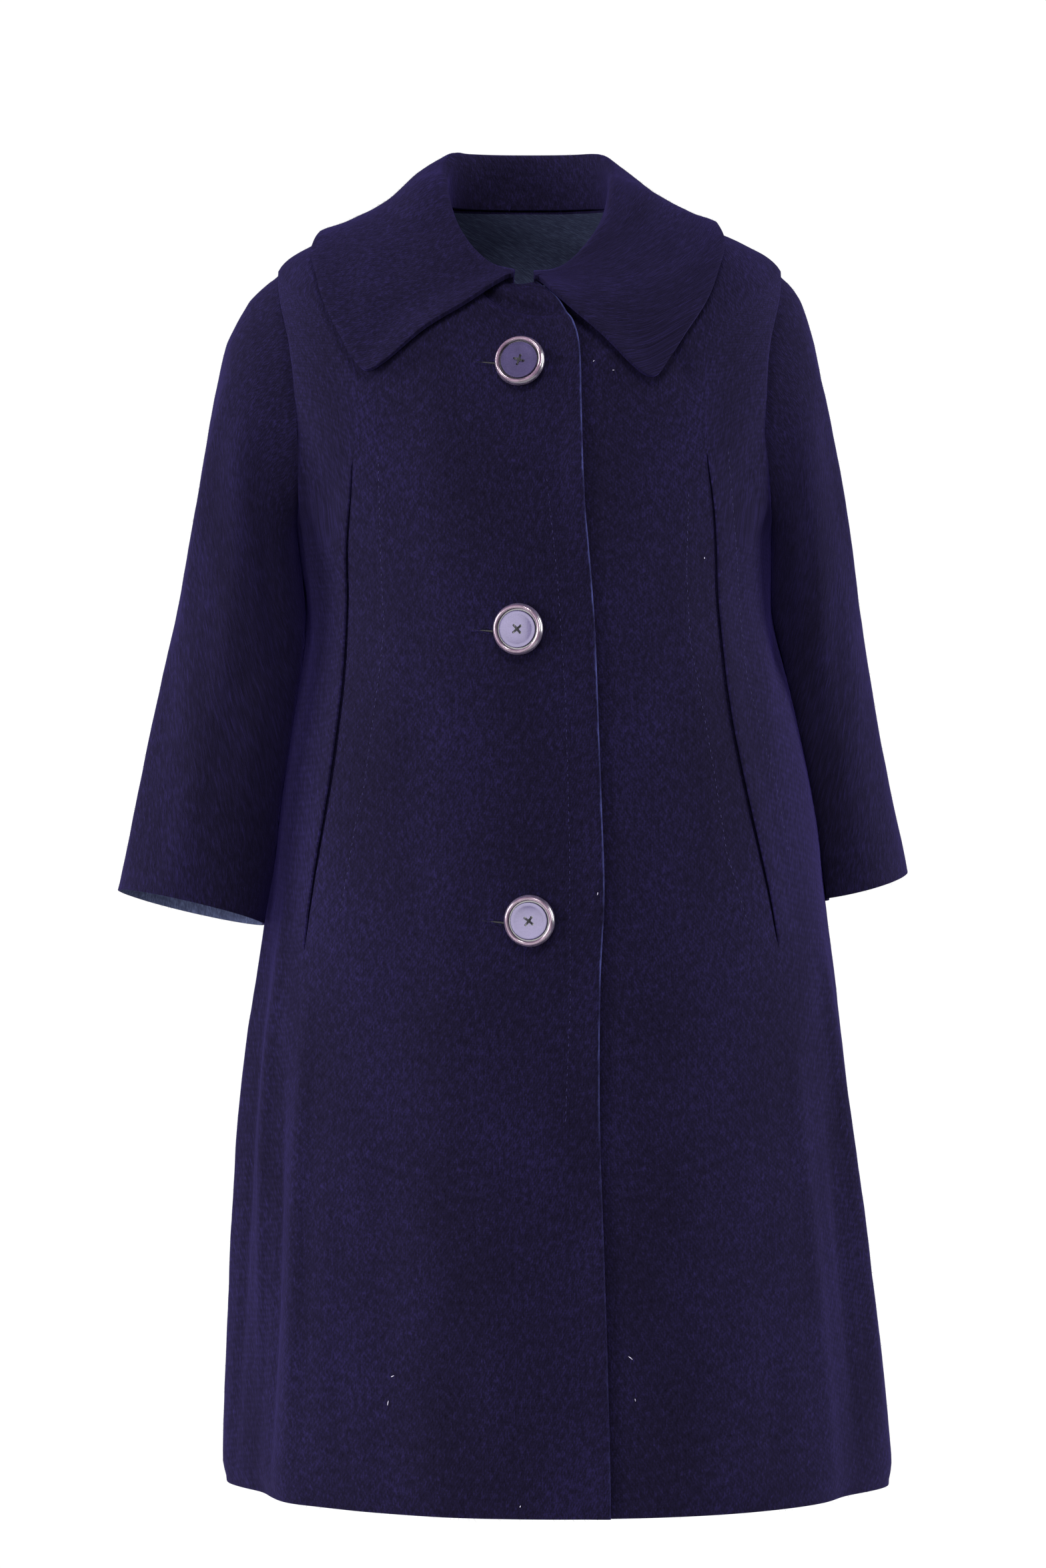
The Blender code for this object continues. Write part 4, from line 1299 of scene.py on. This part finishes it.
def button_plastic(name, colours, roughness, cloud_size, coat, gleam):
    """Casein plastic, sliced from rods, turned and polished: faint clouds run through it."""
    material, tree, shader = new_finish(name)
    place = add_node(tree, "ShaderNodeTexCoord").outputs["Object"]
    cloud = add_node(
        tree, "ShaderNodeTexNoise", {"Vector": place, "Scale": 1 / cloud_size, "Detail": 3.0}
    )
    scuffs = add_node(
        tree, "ShaderNodeTexNoise", {"Vector": place, "Scale": 1 / SCUFF_SIZE, "Detail": 4.0}
    ).outputs["Fac"]
    dulled = add_node(
        tree,
        "ShaderNodeMapRange",
        {"Value": scuffs, "To Min": roughness - 0.06, "To Max": roughness + 0.08},
    )
    worn = add_node(tree, "ShaderNodeBump", {"Height": scuffs, "Strength": 0.06, "Distance": 0.0001})
    finish = {
        "Base Color": dyed(tree, cloud.outputs["Fac"], ((0.3, colours[0]), (0.7, colours[1]))),
        "Roughness": dulled.outputs["Result"],
        "Normal": worn.outputs["Normal"],
        "IOR": 1.54,
        "Specular IOR Level": 0.8,
        "Specular Tint": linear(gleam),
        "Coat Weight": coat,
        "Coat Roughness": 0.12,
    }
    set_inputs(shader, finish)
    return material


# The plastics' own colours are darker than they look, because their polish takes up the pale room.
plum_plastic = button_plastic("plum_casein", ("2A2433", "463C50"), 0.30, 0.004, 0.4, "FFFFFF")
pearl_plastic = button_plastic("pearly_pink_casein", ("4C3B4A", "6C566A"), 0.18, 0.006, 0.7, "FBEAF2")
lilac_plastic = button_plastic("satin_lilac_casein", ("2A2440", "332C4C"), 0.26, 0.010, 0.5, "D2C6F2")


def button_matrix(button):
    """Where a button stands: its middle on the right front, facing out, tipped down and turned."""
    angle = angle_at(button.row, button.x)
    out = body_directions(angle, button.row)[2]
    level = LAP_RISE + WALL / 2 + BUTTON_GAP + button.stand_out
    facing = Matrix.Rotation(math.radians(button.tip_down), 3, "X") @ out
    facing = Matrix.Rotation(math.radians(-button.turn_right), 3, "Z") @ facing
    turn = facing.to_track_quat("Z", "Y").to_matrix().to_4x4()
    spin = Matrix.Rotation(math.radians(button.thread_turn), 4, "Z")
    return Matrix.Translation(body_point(angle, button.row) + facing * level) @ turn @ spin


def turned_mesh(outline, closed):
    """A turned solid: its outline spun a full turn about its own axis."""
    bm = bmesh.new()
    corners = [bm.verts.new((radius, 0, height)) for radius, height in outline]
    edges = [bm.edges.new(pair) for pair in zip(corners, corners[1:])]
    if closed:
        edges.append(bm.edges.new((corners[-1], corners[0])))
    bmesh.ops.spin(
        bm,
        geom=corners + edges,
        cent=(0, 0, 0),
        axis=(0, 0, 1),
        angle=2 * math.pi,
        steps=TURNING_STEPS,
        use_merge=True,
    )
    bmesh.ops.remove_doubles(bm, verts=bm.verts, dist=1e-6)
    bmesh.ops.recalc_face_normals(bm, faces=bm.faces)
    return bm


def turned_piece(node, bm, place, material):
    """A button's piece in place of its node, put where it belongs in the mesh itself."""
    bmesh.ops.transform(bm, matrix=place, verts=bm.verts)
    mesh = mesh_of(node + "_turned", bm)
    mesh.shade_smooth()
    mesh.set_sharp_from_angle(angle=math.radians(35))
    mesh.materials.append(material)
    piece = put_in_scene(node + "_turned", mesh)
    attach(piece, "root")
    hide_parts(node)


def drilled(disc):
    """The disc with its four thread holes cut through, as a new bmesh."""
    blank = put_in_scene("undrilled", mesh_of("undrilled", disc))
    drills = bmesh.new()
    for across in (-1, 1):
        for along in (-1, 1):
            spot = Matrix.Translation((across * HOLE_SPACING / 2, along * HOLE_SPACING / 2, 0.0040))
            bmesh.ops.create_cone(
                drills, cap_ends=True, segments=20, radius1=HOLE_RADIUS, radius2=HOLE_RADIUS,
                depth=0.01, matrix=spot,
            )
    drill = put_in_scene("drills", mesh_of("drills", drills))
    cut = blank.modifiers.new("Holes", "BOOLEAN")
    cut.operation = "DIFFERENCE"
    cut.object = drill
    graph = bpy.context.evaluated_depsgraph_get()
    result = bmesh.new()
    result.from_mesh(bpy.data.meshes.new_from_object(blank.evaluated_get(graph)))
    bpy.data.objects.remove(blank)
    bpy.data.objects.remove(drill)
    return result


for button in BUTTONS:
    parts = (
        ("button_base_", turned_mesh(BASE_OUTLINE, False), plum_plastic, "button_plum"),
        ("button_ring_", turned_mesh(RING_OUTLINE, True), pearl_plastic, "button_rim"),
        ("button_disc_", drilled(turned_mesh(DISC_OUTLINE, False)), lilac_plastic, "button_lilac"),
    )
    for node, solid, plastic, slot in parts:
        turned_piece(node + button.name, solid, button_matrix(button), plastic)

# Button threads
# Every button is sewn on with dark waxed linen thread, in three strands each way, which cross between
# its four holes.
STRANDS = 3
STRAND_RADIUS = 0.00033
STRAND_PITCH = 1.7
STRAND_LEVELS = ((45, 0.0046), (135, 0.0050))
# Waxed linen thread: near black, smooth and dull. The same finish makes the painted shade in the
# buttonhole slots.
dark_thread_and_slot_shade = speckled(
    "waxed_dark_thread_and_slot_shade", 0.0004, ((0.3, "08070C"), (0.7, "12101A")), {"Roughness": 0.7}
)

for button in BUTTONS:
    threads = bmesh.new()
    for turn, level in STRAND_LEVELS:
        along = Vector((math.cos(math.radians(turn)), math.sin(math.radians(turn)), 0))
        beside = Vector((-along.y, along.x, 0))
        for strand in range(STRANDS):
            shift = (strand - (STRANDS - 1) / 2) * STRAND_RADIUS * STRAND_PITCH
            middle = beside * shift + Vector((0, 0, level))
            half = HOLE_SPACING / 2 * math.sqrt(2) + HOLE_RADIUS * 0.6
            lay_thread(threads, middle, along, Vector((0, 0, 1)), half, STRAND_RADIUS)
    bmesh.ops.transform(threads, matrix=button_matrix(button), verts=threads.verts)
    thread_piece("button_threads_" + button.name, threads, dark_thread_and_slot_shade)

# Buttonholes
# Each buttonhole is cut across the lap and worked round with close stitches of dark mohair yarn. Its
# outer end shows beside the button, slightly open; a near-black sheet in the opening is painted shade,
# and a blue yarn shows at its lip, its blue partly the reverse's own colour and partly a painted glint.
HOLE_LENGTH = 0.042
HOLE_INNER_END = 0.007
HOLE_SLOPE = 0.10
HOLE_DROP = 0.0042
HOLE_HALF_GAP = 0.0011
LIP_PITCH = 0.0008
LIP_HALF_LENGTH = 0.0013
LIP_HALF_WIDTH = 0.00040
YARN_SHOWS = 0.017

YARN_HALF_LENGTH = 0.0009
YARN_HALF_WIDTH = 0.00030

# The blue yarn under the lips' stitches: woollen, bluer than the reverse, and lighter than the cloth
# as a partly painted glint
blue_glint_yarn = speckled(
    "blue_yarn_painted_glint", 0.0008, ((0.3, "1C2A4C"), (0.7, "30487A")), {"Roughness": 0.7}
)

for button in BUTTONS:
    middle = button_matrix(button).translation
    lips = bmesh.new()
    shade_slot = bmesh.new()
    yarn = bmesh.new()
    steps = int(HOLE_LENGTH / LIP_PITCH)
    for step in range(steps + 1):
        share = step / steps
        x = middle.x + HOLE_INNER_END - share * HOLE_LENGTH
        z = middle.z - HOLE_DROP + HOLE_SLOPE * share * HOLE_LENGTH
        half_gap = HOLE_HALF_GAP * math.sin(math.pi * min(share + 0.15, 1.0)) ** 0.5
        spot, out = set_on(surfaces["right_front"], x, z)
        run = Vector((1, 0, -HOLE_SLOPE))
        run = (run - out * run.dot(out)).normalized()
        up = run.cross(out).normalized()
        for side in (-1, 1):
            lip = spot + up * side * (half_gap + LIP_HALF_LENGTH * 0.8)
            lay_thread(lips, lip, up, out, LIP_HALF_LENGTH, LIP_HALF_WIDTH)
        # A flat near-black sheet laid in the slot: painted shade where the opening is in shadow.
        lay_thread(shade_slot, spot + out * 0.0001, run, out, LIP_PITCH, half_gap + 0.0001)
        # A short blue yarn at the lip, lighter than the cloth: partly a painted glint.
        if share * HOLE_LENGTH < HOLE_INNER_END + YARN_SHOWS:
            lay_thread(yarn, spot - up * half_gap, run, out, YARN_HALF_LENGTH, YARN_HALF_WIDTH)
    thread_piece("buttonhole_lips_" + button.name, lips, mohair)
    thread_piece("buttonhole_painted_shade_slot_" + button.name, shade_slot, dark_thread_and_slot_shade)
    thread_piece("buttonhole_glint_yarn_" + button.name, yarn, blue_glint_yarn)

# Lint
# A few pale fibres and specks cling to the nap of the fronts.
LintSpot = namedtuple("LintSpot", "front x z half_length turn")
LINT = (
    LintSpot("right_front", -0.0975, -0.8860, 0.0017, 20),
    LintSpot("right_front", -0.1010, -0.9060, 0.0022, 80),
    LintSpot("right_front", -0.0020, -0.9780, 0.0010, 60),
    LintSpot("right_front", 0.0560, -0.5250, 0.0013, 75),
    LintSpot("left_front", 0.0800, -0.8700, 0.0024, 140),
    LintSpot("left_front", 0.0835, -0.9010, 0.0013, 100),
    LintSpot("left_front", 0.1385, -0.2700, 0.0008, 90),
    LintSpot("left_front", 0.0540, -0.1200, 0.0009, 30),
    LintSpot("left_front", 0.0690, -0.1270, 0.0009, 10),
)
LINT_HALF_WIDTH = 0.00028
# Lint: loose white wool and cotton fibres, matt
lint_fibre = speckled(
    "pale_wool_lint", 0.001, ((0.3, "8C86A0"), (0.7, "C9C5D4")), {"Roughness": 0.9}
)
lint = bmesh.new()
for speck in LINT:
    spot, out = set_on(surfaces[speck.front], speck.x, speck.z)
    if spot is None:
        continue
    run = Vector((math.cos(math.radians(speck.turn)), 0, math.sin(math.radians(speck.turn))))
    run = (run - out * run.dot(out)).normalized()
    lay_thread(lint, spot + out * 0.0003, run, out, speck.half_length, LINT_HALF_WIDTH)
thread_piece("lint_specks", lint, lint_fibre)

# Floor and light
# A pale studio floor lies at the height of the wearer's feet, under a white surround.
FLOOR_LEVEL = -1.42
FLOOR_RADIUS = 1.6
floor_sheet = bmesh.new()
bmesh.ops.create_circle(floor_sheet, cap_ends=True, segments=96, radius=FLOOR_RADIUS)
bmesh.ops.translate(floor_sheet, verts=floor_sheet.verts, vec=(0, 0, FLOOR_LEVEL))
floor_mesh = mesh_of("studio_floor", floor_sheet)
# Floor paint: matt white, rolled on, so hardly uneven
floor_tones = ((0.3, "F3F3F4"), (0.7, "FAFAFB"))
floor_paint = speckled("matt_white_floor_paint", 1 / 3, floor_tones, {"Roughness": 0.8}, detail=3.0)
floor_mesh.materials.append(floor_paint)
floor = put_in_scene("studio_floor", floor_mesh)

# The camera sees the surround pure white, while the room it stands in gives the coat less light.
surround = bpy.data.worlds.new("white_surround")
surround.use_nodes = True
room = surround.node_tree
room.nodes.clear()
seen = add_node(room, "ShaderNodeBackground", {"Color": (1, 1, 1, 1), "Strength": 1.05})
lit = add_node(room, "ShaderNodeBackground", {"Color": (1, 1, 1, 1), "Strength": 0.20})
to_camera = add_node(room, "ShaderNodeLightPath").outputs["Is Camera Ray"]
shares = {"Fac": to_camera, 1: lit.outputs["Background"], 2: seen.outputs["Background"]}
either = add_node(room, "ShaderNodeMixShader", shares)
add_node(room, "ShaderNodeOutputWorld", {"Surface": either.outputs["Shader"]})
bpy.context.scene.world = surround
bpy.context.scene.view_settings.view_transform = "Standard"

Softbox = namedtuple("Softbox", "name place aim watts width height")
SOFTBOXES = (
    Softbox("softbox_right_side", (-2.7, 0.1, 0.5), (-0.1, 0, -0.45), 152, 0.9, 1.8),
    Softbox("softbox_left_side", (2.7, 0.2, 0.3), (0.1, 0, -0.55), 165, 0.9, 1.8),
    Softbox("softbox_overhead", (0.2, -1.7, 1.9), (0, 0, -0.35), 82, 0.9, 0.7),
    Softbox("softbox_low_right", (-2.4, -1.9, 0.1), (0, 0, -0.5), 66, 0.8, 1.4),
    Softbox("softbox_low_left", (2.0, -2.4, 0.3), (0, 0, -0.5), 10, 0.8, 1.4),
    Softbox("softbox_front", (-1.6, -4.3, -0.45), (0, 0, -0.45), 76, 2.2, 1.8),
)
for softbox in SOFTBOXES:
    light = bpy.data.lights.new(softbox.name, "AREA")
    light.shape = "RECTANGLE"
    light.energy = softbox.watts
    light.size = softbox.width
    light.size_y = softbox.height
    lamp = put_in_scene(softbox.name, light)
    lamp.location = softbox.place
    toward = Vector(softbox.aim) - Vector(softbox.place)
    lamp.rotation_euler = toward.to_track_quat("-Z", "Y").to_euler()
